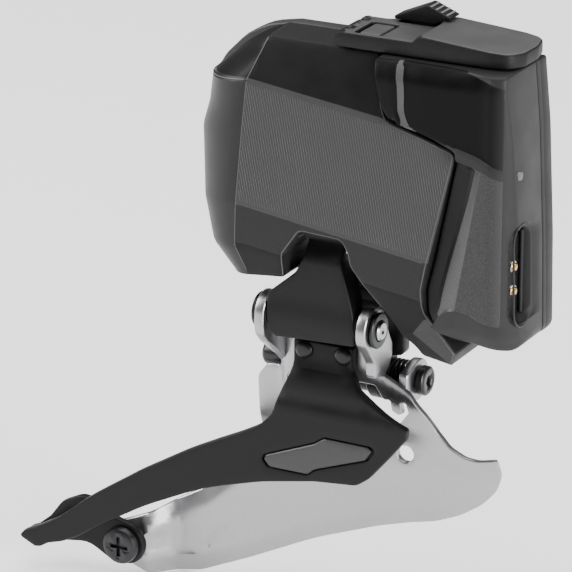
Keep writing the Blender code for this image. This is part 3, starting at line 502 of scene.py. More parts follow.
# ---- panel ribs
# Fine slanting ribs moulded into the flat side panel, 0.55 mm apart. They are part of the cover, and stop
# short of the panel's edges.

RIB_LEAN = 0.23  # forward for each mm down
RIB_PITCH = 0.55


def wire(name, points, edges=()):
    """An object of loose points and edges, with its places given in millimetres."""
    mesh = bpy.data.meshes.new(name)
    mesh.from_pydata([tuple(Vector(p) * MM) for p in points], edges, [])
    return linked(name, mesh)


def open_tree(name, sizes):
    """A tree of Geometry Nodes that takes geometry and named sizes."""
    tree = bpy.data.node_groups.new(name, "GeometryNodeTree")
    tree.interface.new_socket("Geometry", in_out="INPUT", socket_type="NodeSocketGeometry")
    for label, kind in sizes.items():
        tree.interface.new_socket(label, in_out="INPUT", socket_type=kind)
    tree.interface.new_socket("Geometry", in_out="OUTPUT", socket_type="NodeSocketGeometry")
    return tree, tree.nodes.new("NodeGroupInput").outputs


def close_tree(tree, geometry, material):
    """End a tree in Realize Instances and Set Material."""
    real = tree.nodes.new("GeometryNodeRealizeInstances")
    coat = tree.nodes.new("GeometryNodeSetMaterial")
    coat.inputs["Material"].default_value = material
    end = tree.nodes.new("NodeGroupOutput")
    tree.links.new(geometry, real.inputs["Geometry"])
    tree.links.new(real.outputs["Geometry"], coat.inputs["Geometry"])
    tree.links.new(coat.outputs["Geometry"], end.inputs["Geometry"])


def baked(made, tree, sizes):
    """Run a tree on an object with its named sizes and keep the result as a plain mesh."""
    step = made.modifiers.new(tree.name, "NODES")
    step.node_group = tree
    for item in tree.interface.items_tree:
        if item.in_out == "INPUT" and item.name in sizes:
            step[item.identifier] = sizes[item.name]
    result = made_plain(made)
    result.shade_smooth()
    result.set_sharp_from_angle(angle=math.radians(40))
    return made


def swept(name, guides, material, radius, sides):
    """Round bars: the tree turns each run of edges into a bar along it."""
    points, edges = [], []
    for guide in guides:
        edges += [(len(points) + i, len(points) + i + 1) for i in range(len(guide) - 1)]
        points += guide
    made = wire(name, points, edges)
    tree, given = open_tree(name, {"Bar Radius": "NodeSocketFloat", "Bar Sides": "NodeSocketInt"})
    path = tree.nodes.new("GeometryNodeMeshToCurve")
    section = tree.nodes.new("GeometryNodeCurvePrimitiveCircle")
    bar = tree.nodes.new("GeometryNodeCurveToMesh")
    bar.inputs["Fill Caps"].default_value = True
    tree.links.new(given["Geometry"], path.inputs["Mesh"])
    tree.links.new(given["Bar Radius"], section.inputs["Radius"])
    tree.links.new(given["Bar Sides"], section.inputs["Resolution"])
    tree.links.new(path.outputs["Curve"], bar.inputs["Curve"])
    tree.links.new(section.outputs["Curve"], bar.inputs["Profile Curve"])
    close_tree(tree, bar.outputs["Mesh"], material)
    return baked(made, tree, {"Bar Radius": radius * MM, "Bar Sides": sides})


rib_grey = surface("rib_grey", (0.041, 0.041, 0.042), 0.45, specular=0.25, bump=0.1)
guides = []
for start_x in np.arange(-47.0, 9.0, RIB_PITCH):
    heights = np.arange(12.0, 45.0, 0.25)
    run = np.array([unrolled(start_x + RIB_LEAN * (45.0 - z), z) for z in heights])
    on_panel = (run[:, 1] < FACET_FOOT - 0.5) & (run[:, 1] > 19.9)
    on_panel &= run[:, 0] > -38.6 + 0.045 * (run[:, 1] - 20)  # the panel's slanting rear border
    on_panel &= inside(run, [cover_outline]) & (clearance(run, [cover_outline]) > 0.7)
    run = run[on_panel]
    if len(run) > 3:
        guides.append([cover_point(s, w, -0.03) for s, w in [*run[:-1:5], run[-1]]])
ribs = swept("panel_ribs", guides, rib_grey, radius=0.1, sides=5)
settle(ribs, "housing")

# ---- edge beads
# Where two faces of the cover meet, and along its edges at the battery and the link's bay, a fine raised
# bead of a lighter black runs: a painted highlight for the thin bright line that the cover's creases catch.
# It is part of the cover.

# A lighter black than the cover: painted highlight along its creases and edges.
bead_black = surface("bead_black", (0.05, 0.05, 0.051), 0.4, specular=0.6, bump=0.05)
bead_runs = [
    [cover_point(band_at(w)[0], w, -0.1) for w in np.arange(4.5, FACET_FOOT, 1.0)],
    [cover_point(FACET_CREASE_X, w, -0.1) for w in np.arange(FACET_FOOT, TOP_Z, 1.0)],
    [cover_point(s, FACET_FOOT, -0.1) for s in np.arange(-57.0, -37.4, 1.0)],
]
rim_line = drawn_in(cover_outline[::-1], 0.35)
battery_side = [p for p in rim_line if p[0] > -11.5 and p[1] < 52 and not (p[0] < 0.5 and p[1] < 30)]
battery_side.sort(key=lambda p: -p[1])
bay_side = [p for p in rim_line if -30 < p[0] < -4.4 and 6 < p[1] < 20]
bay_side.sort(key=lambda p: p[0])
bead_runs += [[cover_point(*p, -0.12) for p in side] for side in (battery_side, bay_side)]
beads = swept("cover_edge_beads", bead_runs, bead_black, radius=0.13, sides=8)
settle(beads, "housing")

# ---- inboard plate
# The inboard half of the housing: a flat nylon moulding with a rounded rim and stiffening ribs. The clamp's
# saddle and the two lugs of the inner link's fixed pin are moulded on it. Round the rear it stands slightly
# proud of the outer cover.

INNER_TOP = (-8.5, 2.0)  # Y and Z of the inner link's fixed pin
SCREWS = ((-39.8, 6.0), (-28.9, 20.6), (-13.1, 21.4), (1.2, -3.2))
plate_black = surface("plate_black", (0.03, 0.03, 0.031), 0.4, specular=0.45, bump=0.2)


def circle(centre, radius, count=32):
    """An outline of so many points on a circle."""
    turns = [2 * math.pi * i / count for i in range(count)]
    return [(centre[0] + radius * math.cos(t), centre[1] + radius * math.sin(t)) for t in turns]


rear = [(-43.0, 4.6, 2), (-47.9, 10.0, 6), (-50.8, 19.6, 20), (-53.2, 30.0, 20), (-53.6, 40.0, 3)]
rear += [(-50.8, 44.4, 8), (-46.0, 49.2, 12), (-41.0, 51.9, 12), (-35.0, TOP_Z, 2)]
front = [(12.5, TOP_Z, 1), (12.5, -6.0, 1), (8.0, -8.6, 1), (-0.3, -8.5, 1), (-4.2, -2.9, 2)]
bay = [(-5.0, 7.6, 1), (-30.0, 7.6, 1), (-30.0, 4.4, 1), (-38.0, 3.4, 2)]
screw_seats = [circle((x, z), 2.3, 24) for x, z in SCREWS]
inboard = slab(
    "inboard_plate", rounded(rear + front + bay), -9.7, -6.0, plate_black,
    edge=0.7, pitch=8, holes=screw_seats,
)
settle(inboard, "housing", "inner_housing", "cover_seal")
web_corners = [(-44, 7.5, 2), (-46, 22, 4), (-44, 40, 4), (-34, 50, 4), (9, 50, 3), (9, -4.5, 2)]
web_corners += [(1, -5.5, 2), (-2.2, -2.4, 2), (-2.5, 11, 2), (-32.5, 11, 2), (-33, 7.5, 2)]
web = slab(
    "inboard_plate_web", rounded(web_corners), -9.5, -7.5, plate_black,
    edge=0.1, pitch=8, holes=[circle((x, z), 1.1, 16) for x, z in SCREWS],
)
settle(web, "housing")
recess_ribs = [[(x, -5.95, 12.5), (x - 4.0, -5.95, 47.0)] for x in np.arange(-38.0, 8.0, 9.0)]
settle(swept("inboard_plate_ribs", recess_ribs, plate_black, radius=0.45, sides=12), "housing")
lug = [(-11.9, 3.6, 1), (-11.9, -1.4, 3.4), (-5.1, -1.4, 3.4), (-5.1, 3.0, 2), (-6.2, 8.6)]
lug += [(-9.0, 8.6), (-11.6, 5.0)]
for side, start, end in (("rear", -33.2, -30.1), ("front", -8.8, -5.6)):
    made = slab(
        f"pivot_lug_{side}", rounded(lug, 1.0), start, end, plate_black,
        axis="X", edge=0.5, holes=[circle(INNER_TOP, 2.0)],
    )
    settle(made, "housing")
saddle_corners = [(-6.4, -8.0, 1), (3.0, -8.0, 2.5), (5.5, -4.5, 2.5), (5.5, 4.5, 2.5), (3.0, 8.0, 2.5)]
saddle_corners += [(-6.4, 8.0, 1)]
saddle = slab(
    "clamp_saddle", rounded(saddle_corners), -8.4, 0.0, plate_black,
    axis="X", edge=0.6, holes=[circle((0, 0), 2.75)],
)
settle(saddle, "housing")

# ---- cover screws
# Four M2 steel screws with a hexagon socket hold the inboard plate to the cover. Each is turned from bar,
# blackened, and sits with its head in a counterbore.

steel = surface("steel", (0.42, 0.42, 0.43), 0.3, 1.0, bump=0.1, patch=400)
black_steel = surface("black_steel", (0.03, 0.03, 0.032), 0.33, 0.7, bump=0.12)


def lathe(name, profile, centre, material, axis="X", sides=48, bored=False):
    """A turned piece from (along, radius) points, closed on themselves when it is bored."""
    bm = bmesh.new()
    rings = []
    for along, radius in profile:
        ring = circle(centre, radius, sides if radius > 0 else 1)
        rings.append([bm.verts.new(spot(axis, *place, along)) for place in ring])
    if bored:
        rings.append(rings[0])
    for lower, upper in zip(rings, rings[1:]):
        for i in range(sides):
            corners = [lower[i % len(lower)], lower[(i + 1) % len(lower)]]
            corners += [upper[(i + 1) % len(upper)], upper[i % len(upper)]]
            bm.faces.new(list(dict.fromkeys(corners)))
    return shown(name, bm, material, 35)


def socket(start, end, radius, centre, axis):
    """The shape that a hexagon socket takes out of a screw's head."""
    profile = [(start, 0), (start, radius), (end, radius), (end, 0)]
    return lathe("socket", profile, centre, steel, axis, 6)


def copies(name, model, places, material):
    """Geometry Nodes set a copy of the model on each place."""
    made = wire(name, places)
    tree, given = open_tree(name, {"Copy Scale": "NodeSocketFloat"})
    source = tree.nodes.new("GeometryNodeObjectInfo")
    source.inputs["Object"].default_value = model
    points = tree.nodes.new("GeometryNodeMeshToPoints")
    place = tree.nodes.new("GeometryNodeInstanceOnPoints")
    tree.links.new(given["Geometry"], points.inputs["Mesh"])
    tree.links.new(points.outputs["Points"], place.inputs["Points"])
    tree.links.new(source.outputs["Geometry"], place.inputs["Instance"])
    tree.links.new(given["Copy Scale"], place.inputs["Scale"])
    close_tree(tree, place.outputs["Instances"], material)
    baked(made, tree, {"Copy Scale": 1.0})
    discard(model)
    return made


screw_profile = [(-6.5, 0), (-6.5, 0.9), (1.2, 0.9), (1.2, 1.85), (1.4, 2.0), (2.1, 2.0), (2.4, 1.75)]
screw_profile += [(2.4, 0)]
model = lathe("screw_model", screw_profile, (0, 0), steel, "Y", 32)
cut(model, socket(1.5, 3.5, 1.0, (0, 0), "Y"))
cover_screws = copies("cover_screws", model, [(x, -8.7, z) for x, z in SCREWS], black_steel)
settle(cover_screws, "housing", *(f"cover_screw_{i}" for i in (1, 2, 3, 4)), slot="steel")

# ---- clamp bolt and washer
# An M5 steel bolt and a curved washer clamp the bicycle's braze-on tab against the saddle. The bolt is turned
# and threaded, with a hexagon socket in its head, and the washer is pressed and blackened.

clamp_black = surface("clamp_black", (0.03, 0.03, 0.031), 0.36, 0.5, bump=0.15)
BOLT_THREADS, THREAD_PITCH, THREAD_ROOT = 22, 0.6, 2.22
bolt_profile = [(-7.0, 0), (-7.0, 2.2), (-6.7, 2.5)]
for turn in range(BOLT_THREADS):
    bolt_profile += [(-6.4 + turn * THREAD_PITCH, 2.5), (-6.1 + turn * THREAD_PITCH, THREAD_ROOT)]
bolt_profile += [(7.3, 2.5), (7.3, 4.0), (7.5, 4.2), (10.9, 4.2), (11.3, 4.0), (11.5, 3.6), (11.5, 0)]
bolt = lathe("clamp_bolt_turned", bolt_profile, (0, 0), steel, "X", 40)
cut(bolt, socket(8.8, 14, 2.5, (0, 0), "X"))
settle(bolt, "housing", "clamp_bolt", slot="steel")


def box(a0, b0, a1, b1, radius=0.0, pitch=1.5):
    """A rectangle's outline, with round corners."""
    return rounded([(a0, b0, radius), (a1, b0, radius), (a1, b1, radius), (a0, b1, radius)], pitch)


WASHER_FACE_X, WASHER_BACK_X, WASHER_CURVE = 4.6, 7.0, 0.012
washer = slab(
    "clamp_washer_pressed", box(-4.6, -6.4, 4.6, 6.4, 1.5), WASHER_FACE_X,
    lambda y, z: WASHER_BACK_X - WASHER_CURVE * y * y, clamp_black,
    axis="X", edge=0.35, pitch=1.5, holes=[circle((0, 0), 2.8)],
)
settle(washer, "housing", "clamp_washer", slot="forged_black")

# ---- motor, gears and electronics
# The drive inside the housing keeps the solids that it is designed with. The motor's can is drawn steel, the
# wheels are brass, the cells are wrapped in blue film, and the boards are glass fibre with a green mask.

drawn_steel = surface("drawn_steel", (0.5, 0.5, 0.51), 0.32, 1.0, stretch=(0.05, 1, 1), bump=0.2, grain=3000)
brass = surface("brass", (0.62, 0.43, 0.17), 0.3, 1.0, bump=0.12, mottle=0.1)
board_green = surface("board_green", (0.01, 0.09, 0.04), 0.35, specular=0.5, mottle=0.25, grain=1500)
cell_wrap = surface("cell_wrap", (0.03, 0.06, 0.2), 0.3, coat=0.4, bump=0.05, mottle=0.1)
gold = surface("gold", (0.85, 0.5, 0.15), 0.22, 1.0, bump=0.08, mottle=0.08)
INSIDES = {
    drawn_steel: ("motor_can", "gear_carrier"),
    steel: ("motor_rotor", "gear_axle", "output_shaft", "latch_pin"),
    brass: ("reduction_gear", "drive_sector", "shaft_bush_front", "shaft_bush_rear"),
    board_green: ("control_board", "battery_board"),
    cell_wrap: ("battery_cell_lower", "battery_cell_upper"),
    gold: ("contact_pin_1", "contact_pin_2", "battery_pad_1", "battery_pad_2"),
    shell_black: ("contact_block",),
}
for material, names in INSIDES.items():
    for name in names:
        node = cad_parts[name]
        node.data.materials.clear()
        node.data.materials.append(material)

# ---- outer link
# The broad forged link in front, satin black. Its top barrel is keyed to the output shaft inside the bay, and
# its lower barrel turns on the outer pin between the cage's ears.

OUTER_TOP = (-20.5, 16.0)  # Y and Z of the two pivots
OUTER_LOW = (-20.5, -5.0)
link_black = surface("link_black", (0.007, 0.007, 0.0074), 0.42, 0.15, specular=0.2, bump=0.35, mottle=0.25)


def ease(value):
    """A smooth step from 0 to 1."""
    t = min(1.0, max(0.0, value))
    return t * t * (3 - 2 * t)


LINK_FRONT_Y, LINK_BACK_Y = -23.9, -20.9
TOP_BEND, LOW_SWELL, FLANGE_DEPTH = 2.4, 0.45, 2.4


def link_front(x, z):
    """The link's face, which bends back into its top barrel and swells a little over the lower one."""
    return LINK_FRONT_Y + TOP_BEND * ease((z - 8.2) / 5) - LOW_SWELL * ease(1 - abs(z + 4.6) / 5)


def link_back(x, z):
    """The back, which is deeper along the forward edge, where a stiffening flange stands."""
    on_edge = ease((x + 19.5) / 2.5) * ease((10.5 - z) / 4) * ease((z + 4.5) / 5)
    return LINK_BACK_Y + FLANGE_DEPTH * on_edge


link_corners = [(-25.5, 14.6, 1.0), (-25.6, 9.4, 2.5), (-27.4, 5.6, 3), (-33.8, 0.2, 1.6), (-33.8, -6.4, 3)]
link_corners += [(-32.6, -8.9, 1.6), (-14.0, -8.2, 0.8), (-14.2, -2.3, 6), (-15.6, 3.2, 8)]
link_corners += [(-17.2, 9.0, 4), (-17.3, 14.6, 1)]
link_plate = slab(
    "outer_link_plate", rounded(link_corners, 0.9), link_front, link_back, link_black,
    edge=0.4, pitch=0.9,
)
settle(link_plate, "outer_arm", "outer_link", slot="forged_black")


def barrel(name, span, centre, outer, inner):
    """A bored barrel with chamfered ends."""
    lip = 0.4
    start, end = span
    profile = [(start, inner), (start, outer - lip), (start + lip, outer)]
    profile += [(end - lip, outer), (end, outer - lip), (end, inner)]
    return lathe(name, profile, centre, link_black, bored=True)


OUTER_BARRELS = (("top", (-25.8, -16.8), OUTER_TOP, 3.9), ("low", (-33.6, -13.7), OUTER_LOW, 3.8))
for end_name, span, centre, radius in OUTER_BARRELS:
    made = barrel(f"outer_link_{end_name}_barrel", span, centre, radius, 2.25)
    settle(made, "outer_arm", slot="forged_black")

# ---- inner link
# The second link, behind, also forged and satin black, with a pocket in its web. It turns on a fixed pin in
# the housing's lugs, and its lower barrel turns on the screw through the cage's ears.

INNER_LOW = (-8.5, -19.0)  # Y and Z of its lower pivot
inner_corners = [(-29.0, 2.3, 1), (-31.0, -18.7, 1), (-14.0, -18.7, 1), (-14.0, -14.6, 1)]
inner_corners += [(-9.8, -14.0, 1.5), (-9.8, 2.3, 1)]
pocket = rounded([(-26.5, -3.5, 1.5), (-27.2, -12.5, 1.5), (-16.0, -12.5, 1.5), (-14.5, -3.5, 1.5)])
inner_web = slab(
    "inner_link_web", rounded(inner_corners), -10.0, -7.0, link_black,
    edge=0.5, pitch=4, holes=[pocket],
)
settle(inner_web, "inner_arm", "inner_link", slot="forged_black")
pocket_floor = slab("inner_link_pocket", pocket, -8.9, -8.1, link_black, edge=0.1, pitch=4)
settle(pocket_floor, "inner_arm", slot="forged_black")
INNER_BARRELS = (
    ("top_barrel", (-29.6, -9.3), INNER_TOP, 3.2),
    ("low_barrel", (-31.6, -13.5), INNER_LOW, 4.3),
    ("boss", (-16.8, -14.0), INNER_LOW, 5.2),
)
for part_name, span, centre, radius in INNER_BARRELS:
    made = barrel(f"inner_link_{part_name}", span, centre, radius, 2.05)
    settle(made, "inner_arm", slot="forged_black")

# ---- pins and bushes
# Hardened steel pins join the links to the housing and the cage. Flanged black bushes line the cage's outer
# ears, and the inner link's lower pin is a turned black screw with a sleeve nut.

bright_steel = surface("bright_steel", (0.62, 0.62, 0.63), 0.2, 1.0, bump=0.06, patch=300)


def pin(name, span, centre, radius, material):
    """A ground pin with chamfered ends, each with a centre dimple."""
    start, end = span
    lip = 0.35
    profile = [(start + 0.5, 0), (start, 0.7), (start, radius - lip), (start + lip, radius)]
    profile += [(end - lip, radius), (end, radius - lip), (end, 0.7), (end - 0.5, 0)]
    return lathe(name, profile, centre, material)


upper_pin = pin("inner_upper_pin_ground", (-33.6, -5.2), INNER_TOP, 1.8, bright_steel)
settle(upper_pin, "housing", "inner_upper_pin", slot="steel")
lower_pin = pin("outer_lower_pin_ground", (-37.9, -9.3), OUTER_LOW, 2.0, steel)
settle(lower_pin, "cage", "outer_lower_pin", slot="steel")
BUSH = ((0, 2.25), (0, 2.9), (2.3, 2.9), (2.3, 3.5), (2.5, 3.7), (2.9, 3.7), (3.1, 3.5), (3.1, 2.25))
for side, start, outward in (("front", -13.0, 1), ("rear", -34.3, -1)):
    profile = [(start + outward * along, radius) for along, radius in BUSH]
    made = lathe(f"outer_bush_{side}_turned", profile, OUTER_LOW, black_steel, bored=True)
    settle(made, "cage", f"outer_bush_{side}", slot="forged_black")
profile = [(-40.8, 0), (-40.8, 1.8), (-6.5, 1.8), (-6.5, 2.9), (-6.3, 3.1), (-5.1, 3.1), (-4.8, 2.8)]
profile += [(-4.7, 2.5), (-4.7, 0)]
lower_screw = lathe("inner_lower_screw_turned", profile, INNER_LOW, black_steel)
cut(lower_screw, socket(-5.9, -3, 1.4, INNER_LOW, "X"))
settle(lower_screw, "cage", "inner_lower_screw", slot="forged_black")
profile = [(-42.2, 0), (-42.2, 2.0), (-41.8, 2.5), (-41.2, 2.8), (-36.9, 2.8), (-36.7, 2.6), (-36.7, 2.1)]
profile += [(-41.1, 2.1), (-41.1, 0)]
nut = lathe("inner_pin_nut_turned", profile, INNER_LOW, black_steel)
settle(nut, "cage", "inner_pin_nut", slot="forged_black")

# ---- return spring
# A torsion spring of blackened steel wire, close wound in four turns. It sits round the inner link's lower
# pivot and takes up the play in the linkage.

COIL_TURNS, COIL_STEPS = 4, 24
COIL_START_X, COIL_LENGTH, COIL_RADIUS = -13.0, 3.6, 3.3
coil = []
for i in range(COIL_TURNS * COIL_STEPS + 1):
    turn = 2 * math.pi * i / COIL_STEPS
    along = COIL_START_X + COIL_LENGTH * i / (COIL_TURNS * COIL_STEPS)
    across = INNER_LOW[0] + COIL_RADIUS * math.cos(turn)
    coil.append((along, across, INNER_LOW[1] + COIL_RADIUS * math.sin(turn)))
spring = swept("return_spring_wire", [coil], black_steel, radius=0.36, sides=12)
settle(spring, "inner_arm", "return_spring", slot="steel")

# ---- inner cage plate
# The chain-side plate of the cage: pressed aluminium, bead blasted, with a flared nose, a stepped tail and
# three pivot ears. A window lightens it behind the links.

INNER_PLATE_Y = -13.3
INNER_PLATE_THICKNESS = 1.6
BRIDGE_Y = -15.9  # the neck, pressed outboard to meet the outer plate
DISH_DEPTH, DISH_WIDTH = 1.3, 4.5
FIELD_DEPTH = 0.35
NOSE_FLARE = 3.0
TAIL_STEP = 5.6
TAIL_SCREW = (-69.8, -63.4)
RIVETS = ((-28.3, -13.0), (-19.4, -13.0))
silver = surface("silver", (0.38, 0.38, 0.39), 0.34, 1.0, bump=0.3, grain=2200, mottle=0.06, uneven=0.05)

plate_corners = [(12.3, -31.8, 0.4), (8.0, -33.0, 4), (5.4, -32.7, 3), (2.3, -30.8, 5), (-0.3, -28.0, 6)]
plate_corners += [(-2.5, -23.7, 6), (-5.8, -19.5, 3), (-8.6, -18.0, 2), (-12.6, -16.0, 2), (-12.6, -10.4, 1)]
plate_corners += [(-36.2, -10.4, 1), (-36.2, -19.6, 1), (-39.4, -19.6, 2), (-41.8, -22.8, 2.5)]
plate_corners += [(-41.1, -37.5, 5), (-48.5, -44.5, 14)]
plate_corners += [(-55.4, -51.2, 8), (-64.5, -56.5, 10), (-70.5, -59.2, 4), (-74.2, -60.8, 2)]
plate_corners += [(-75.2, -64.0, 3), (-74.0, -67.4, 3), (-70.0, -69.8, 4), (-66.0, -71.1, 4)]
plate_corners += [(-61.5, -71.5, 4), (-56.3, -70.5, 10), (-44.9, -65.3, 30), (-29.0, -57.4, 60)]
plate_corners += [(-14.1, -51.6, 60), (-6.8, -49.4, 30), (-1.4, -48.1, 20), (4.0, -46.0, 12)]
plate_corners += [(8.2, -43.3, 8), (10.7, -40.4, 6), (12.1, -36.6, 6)]
plate_loop = rounded(plate_corners, 1.4)
field_corners = [(-66.5, -61.5, 2), (-60.0, -59.5, 3), (-50.0, -54.5, 6), (-47.5, -56.0, 1.5)]
tail_field = rounded([*field_corners, (-55.0, -66.0, 4), (-62.0, -67.5, 4), (-67.0, -66.5, 2)], 1.0)


def inner_y(x, z):
    """Y of the plate's outboard face, dished along its lower edge, with a shallow field on the tail."""
    y = INNER_PLATE_Y
    here = np.array([(x, z)])
    if z < -30:
        y += DISH_DEPTH * ease(1 - clearance(here, [plate_loop])[0] / DISH_WIDTH) * ease((-30 - z) / 6)
    if inside(here, [tail_field])[0]:
        y += FIELD_DEPTH * min(1.0, clearance(here, [tail_field])[0] / 0.7)
    y += (BRIDGE_Y - INNER_PLATE_Y) * ease((z + 29) / 8) * ease((x + 37) / 4)
    y += NOSE_FLARE * ease((x + 2) / 16) * ease((-30 - z) / 10)
    return y - TAIL_STEP * ease((-61.0 - x) / 5.5)


window = [(-33.4, -19.0, 2), (-13.4, -19.0, 0.8), (-11.4, -21.9, 0.7), (-10.0, -21.6, 0.5)]
window += [(-10.0, -24.2, 0.8), (-8.9, -25.2, 0.8), (-7.4, -24.4, 0.8), (-7.6, -22.2, 0.5)]
window += [(-6.5, -21.6, 0.5), (-6.2, -24.0, 1)]
window += [(-8.6, -27.0, 2), (-10.4, -29.0, 3), (-10.8, -33.0, 3), (-14.0, -36.5, 3), (-33.4, -36.5, 3)]
plate_holes = [rounded(window, 1.0), circle((-7.6, -33.9), 1.8, 28), circle(TAIL_SCREW, 2.3, 28)]
plate_holes += [circle(rivet, 1.25, 20) for rivet in RIVETS]
inner_plate = slab(
    "inner_cage_plate_pressed", plate_loop, inner_y, lambda x, z: inner_y(x, z) + INNER_PLATE_THICKNESS,
    silver, edge=0.4, pitch=1.3, holes=plate_holes, creases=[[*tail_field, tail_field[0]]],
)
settle(inner_plate, "cage", "inner_cage_plate", slot="silver_alloy")


def arc_round(centre, radius, start, end, step=12):
    """Points on an arc, in degrees."""
    turns = np.radians(np.arange(start, end + 0.1, step))
    return [(centre[0] + radius * math.cos(t), centre[1] + radius * math.sin(t)) for t in turns]


rear_ear = [*arc_round(OUTER_LOW, 4.5, 10, 166), (-25.1, -6.6, 2), (-24.7, -8.8, 2), (-22.6, -11.1, 2)]
rear_ear += [(-15.9, -16.2, 6), (-12.2, -19.6, 1), *arc_round(INNER_LOW, 4.4, 225, 385)]
rear_ear += [(-8.2, -13.0, 3), (-14.5, -8.6, 3)]
front_ear = [*arc_round(OUTER_LOW, 4.9, 38, 206), (-23.3, -8.9, 2), (-20.7, -12.3, 2), (-20.4, -15.6, 1)]
front_ear += [(-16.0, -16.6, 1), (-14.0, -15.2, 2), (-12.6, -12.8, 2), (-12.5, -10.4, 3), (-14.2, -7.4, 3)]
low_ear = [*arc_round(INNER_LOW, 4.4, 250, 470), (-14.4, -16.2, 1), (-14.6, -22.0, 1)]
EARS = (
    ("rear_ear", rear_ear, (-36.3, -34.1), ((OUTER_LOW, 3.1), (INNER_LOW, 2.0))),
    ("front_ear", front_ear, (-13.2, -11.0), ((OUTER_LOW, 3.1),)),
    ("low_ear", low_ear, (-8.8, -6.8), ((INNER_LOW, 2.0),)),
)
for name, corners, (start, end), bores in EARS:
    holes = [circle(centre, radius) for centre, radius in bores]
    made = slab(name, rounded(corners, 1.0), start, end, silver, axis="X", holes=holes)
    settle(made, "cage", slot="silver_alloy")

# ---- outer cage plate
# The outboard plate: forged aluminium, black anodised, with a long tapering tail whose return flange takes
# the tail screw. Its neck bends inboard to meet the bridge of the inner plate. A dark inlay is glued in its
# bed.

OUTER_PLATE_Y = -25.0
OUTER_PLATE_THICKNESS = 2.0
NECK_BEND = 6.8
cage_black = surface("cage_black", (0.007, 0.007, 0.0074), 0.44, 0.12, specular=0.2, bump=0.4, mottle=0.25)
inlay_grey = surface("inlay_grey", (0.034, 0.034, 0.035), 0.38, 0.3, bump=0.25)


def outer_y(x, z):
    """Y of the plate's outboard face."""
    return OUTER_PLATE_Y + NECK_BEND * ease((z + 23) / 7.5)


upper = [(-93.7, -65.1, 0.6), (-92.4, -63.6, 0.8), (-88.7, -61.8, 4), (-83.8, -58.9, 10), (-79.0, -55.0, 30)]
upper += [(-74.9, -51.8, 30), (-63.3, -44.0, 60), (-51.8, -37.1, 60), (-44.8, -33.5, 30), (-39.7, -31.0, 12)]
upper += [(-35.3, -28.6, 8), (-32.3, -25.6, 5), (-31.1, -21.6, 5), (-30.8, -18.0, 2), (-30.8, -11.0, 0.6)]
forward = [(-17.4, -11.0, 0.6), (-17.4, -16.0, 2), (-15.2, -18.6, 3), (-8.8, -20.9, 8), (-4.5, -22.5, 6)]
forward += [(-1.7, -23.6, 0.7), (-2.0, -25.8, 1.5), (-6.3, -31.1, 12), (-10.2, -35.7, 4), (-13.0, -37.7, 3)]
under = [(-22.5, -38.6, 12), (-34.6, -41.0, 40), (-48.4, -45.1, 60), (-62.5, -52.0, 60), (-73.8, -58.8, 40)]
under += [(-79.2, -62.5, 12), (-83.0, -64.4, 6), (-86.6, -65.5, 3), (-88.5, -66.7, 1.5), (-89.8, -66.9, 0.8)]
inlay = [(-34.6, -35.9, 0.5), (-34.1, -34.8, 0.5), (-26.2, -31.6, 4), (-22.5, -30.1, 3), (-20.2, -28.5, 1)]
inlay += [(-10.0, -28.6, 0.6), (-8.8, -29.2, 0.4), (-10.4, -31.6, 0.8), (-22.5, -36.0, 3), (-24.1, -37.4, 1)]
inlay += [(-33.2, -37.4, 1)]
INLAY_MIDDLE = (-21.7, -32.9)


def inlay_outline(share, pitch):
    """The inlay's outline drawn towards its middle, with the corners' radii kept."""
    a, b = INLAY_MIDDLE
    return rounded([(a + (x - a) * share, b + (z - b) * share, radius) for x, z, radius in inlay], pitch)


outer_plate = slab(
    "outer_cage_plate_forged", rounded(upper + forward + under, 1.2), outer_y,
    lambda x, z: outer_y(x, z) + OUTER_PLATE_THICKNESS, cage_black, edge=0.45, pitch=1.6,
    holes=[inlay_outline(1.0, 0.8), *(circle(rivet, 1.25, 20) for rivet in RIVETS)],
)
settle(outer_plate, "cage", "outer_cage_plate", slot="forged_black")
bed_floor = slab("inlay_bed", inlay_outline(1.03, 0.8), -24.2, -23.1, cage_black, edge=0.1, pitch=4)
settle(bed_floor, "cage", slot="forged_black")
plate_inlay = slab(
    "plate_inlay", inlay_outline(0.955, 0.6), -25.25, -24.3, inlay_grey,
    edge=0.45, pitch=1.5,
)
settle(plate_inlay, "cage", "plate_insert", slot="forged_black")

flange = [(-93.3, -65.3, 0.5), (-90.8, -63.1, 2), (-87.9, -60.7, 3), (-84.9, -56.7, 4), (-80.2, -54.4, 4)]
flange += [(-77.0, -54.8, 3), (-72.0, -58.0, 4), (-66.6, -59.2, 4), (-64.6, -63.4, 4), (-66.6, -67.8, 4)]
flange += [(-72.4, -68.2, 4), (-78.5, -64.8, 6), (-86.0, -66.0, 3), (-89.6, -66.7, 0.6)]
screw_hole = circle(TAIL_SCREW, 2.2)
tail_flange = slab("tail_flange", rounded(flange, 1.0), -21.4, -19.6, cage_black, holes=[screw_hole])
settle(tail_flange, "cage", slot="forged_black")
fold_corners = [(-93.6, -65.2, 0.5), (-92.4, -63.8, 0.8), (-90.4, -63.0, 1), (-86.6, -65.7, 1)]
fold = rounded([*fold_corners, (-89.7, -66.8, 0.6)], 0.8)
settle(slab("tail_fold", fold, -24.4, -20.2, cage_black), "cage", slot="forged_black")

# ---- rivets and tail screw
# Two steel rivets join the cage's plates at the neck, with a formed head at both ends; they are coloured
# near black as painted shade, for the dark under the outer link. At the tail a black cross-head screw with a
# broad head joins them, held by a steel hexagon nut behind.

profile = [(-6.05, 0), (-6.05, 1.0), (-5.85, 1.6), (-5.5, 1.9), (-5.4, 1.0), (-1.0, 1.0), (-1.0, 2.0)]
profile += [(-0.4, 1.7), (-0.2, 0.8), (-0.2, 0)]
model = lathe("rivet_model", profile, (0, 0), steel, "Y", 28)
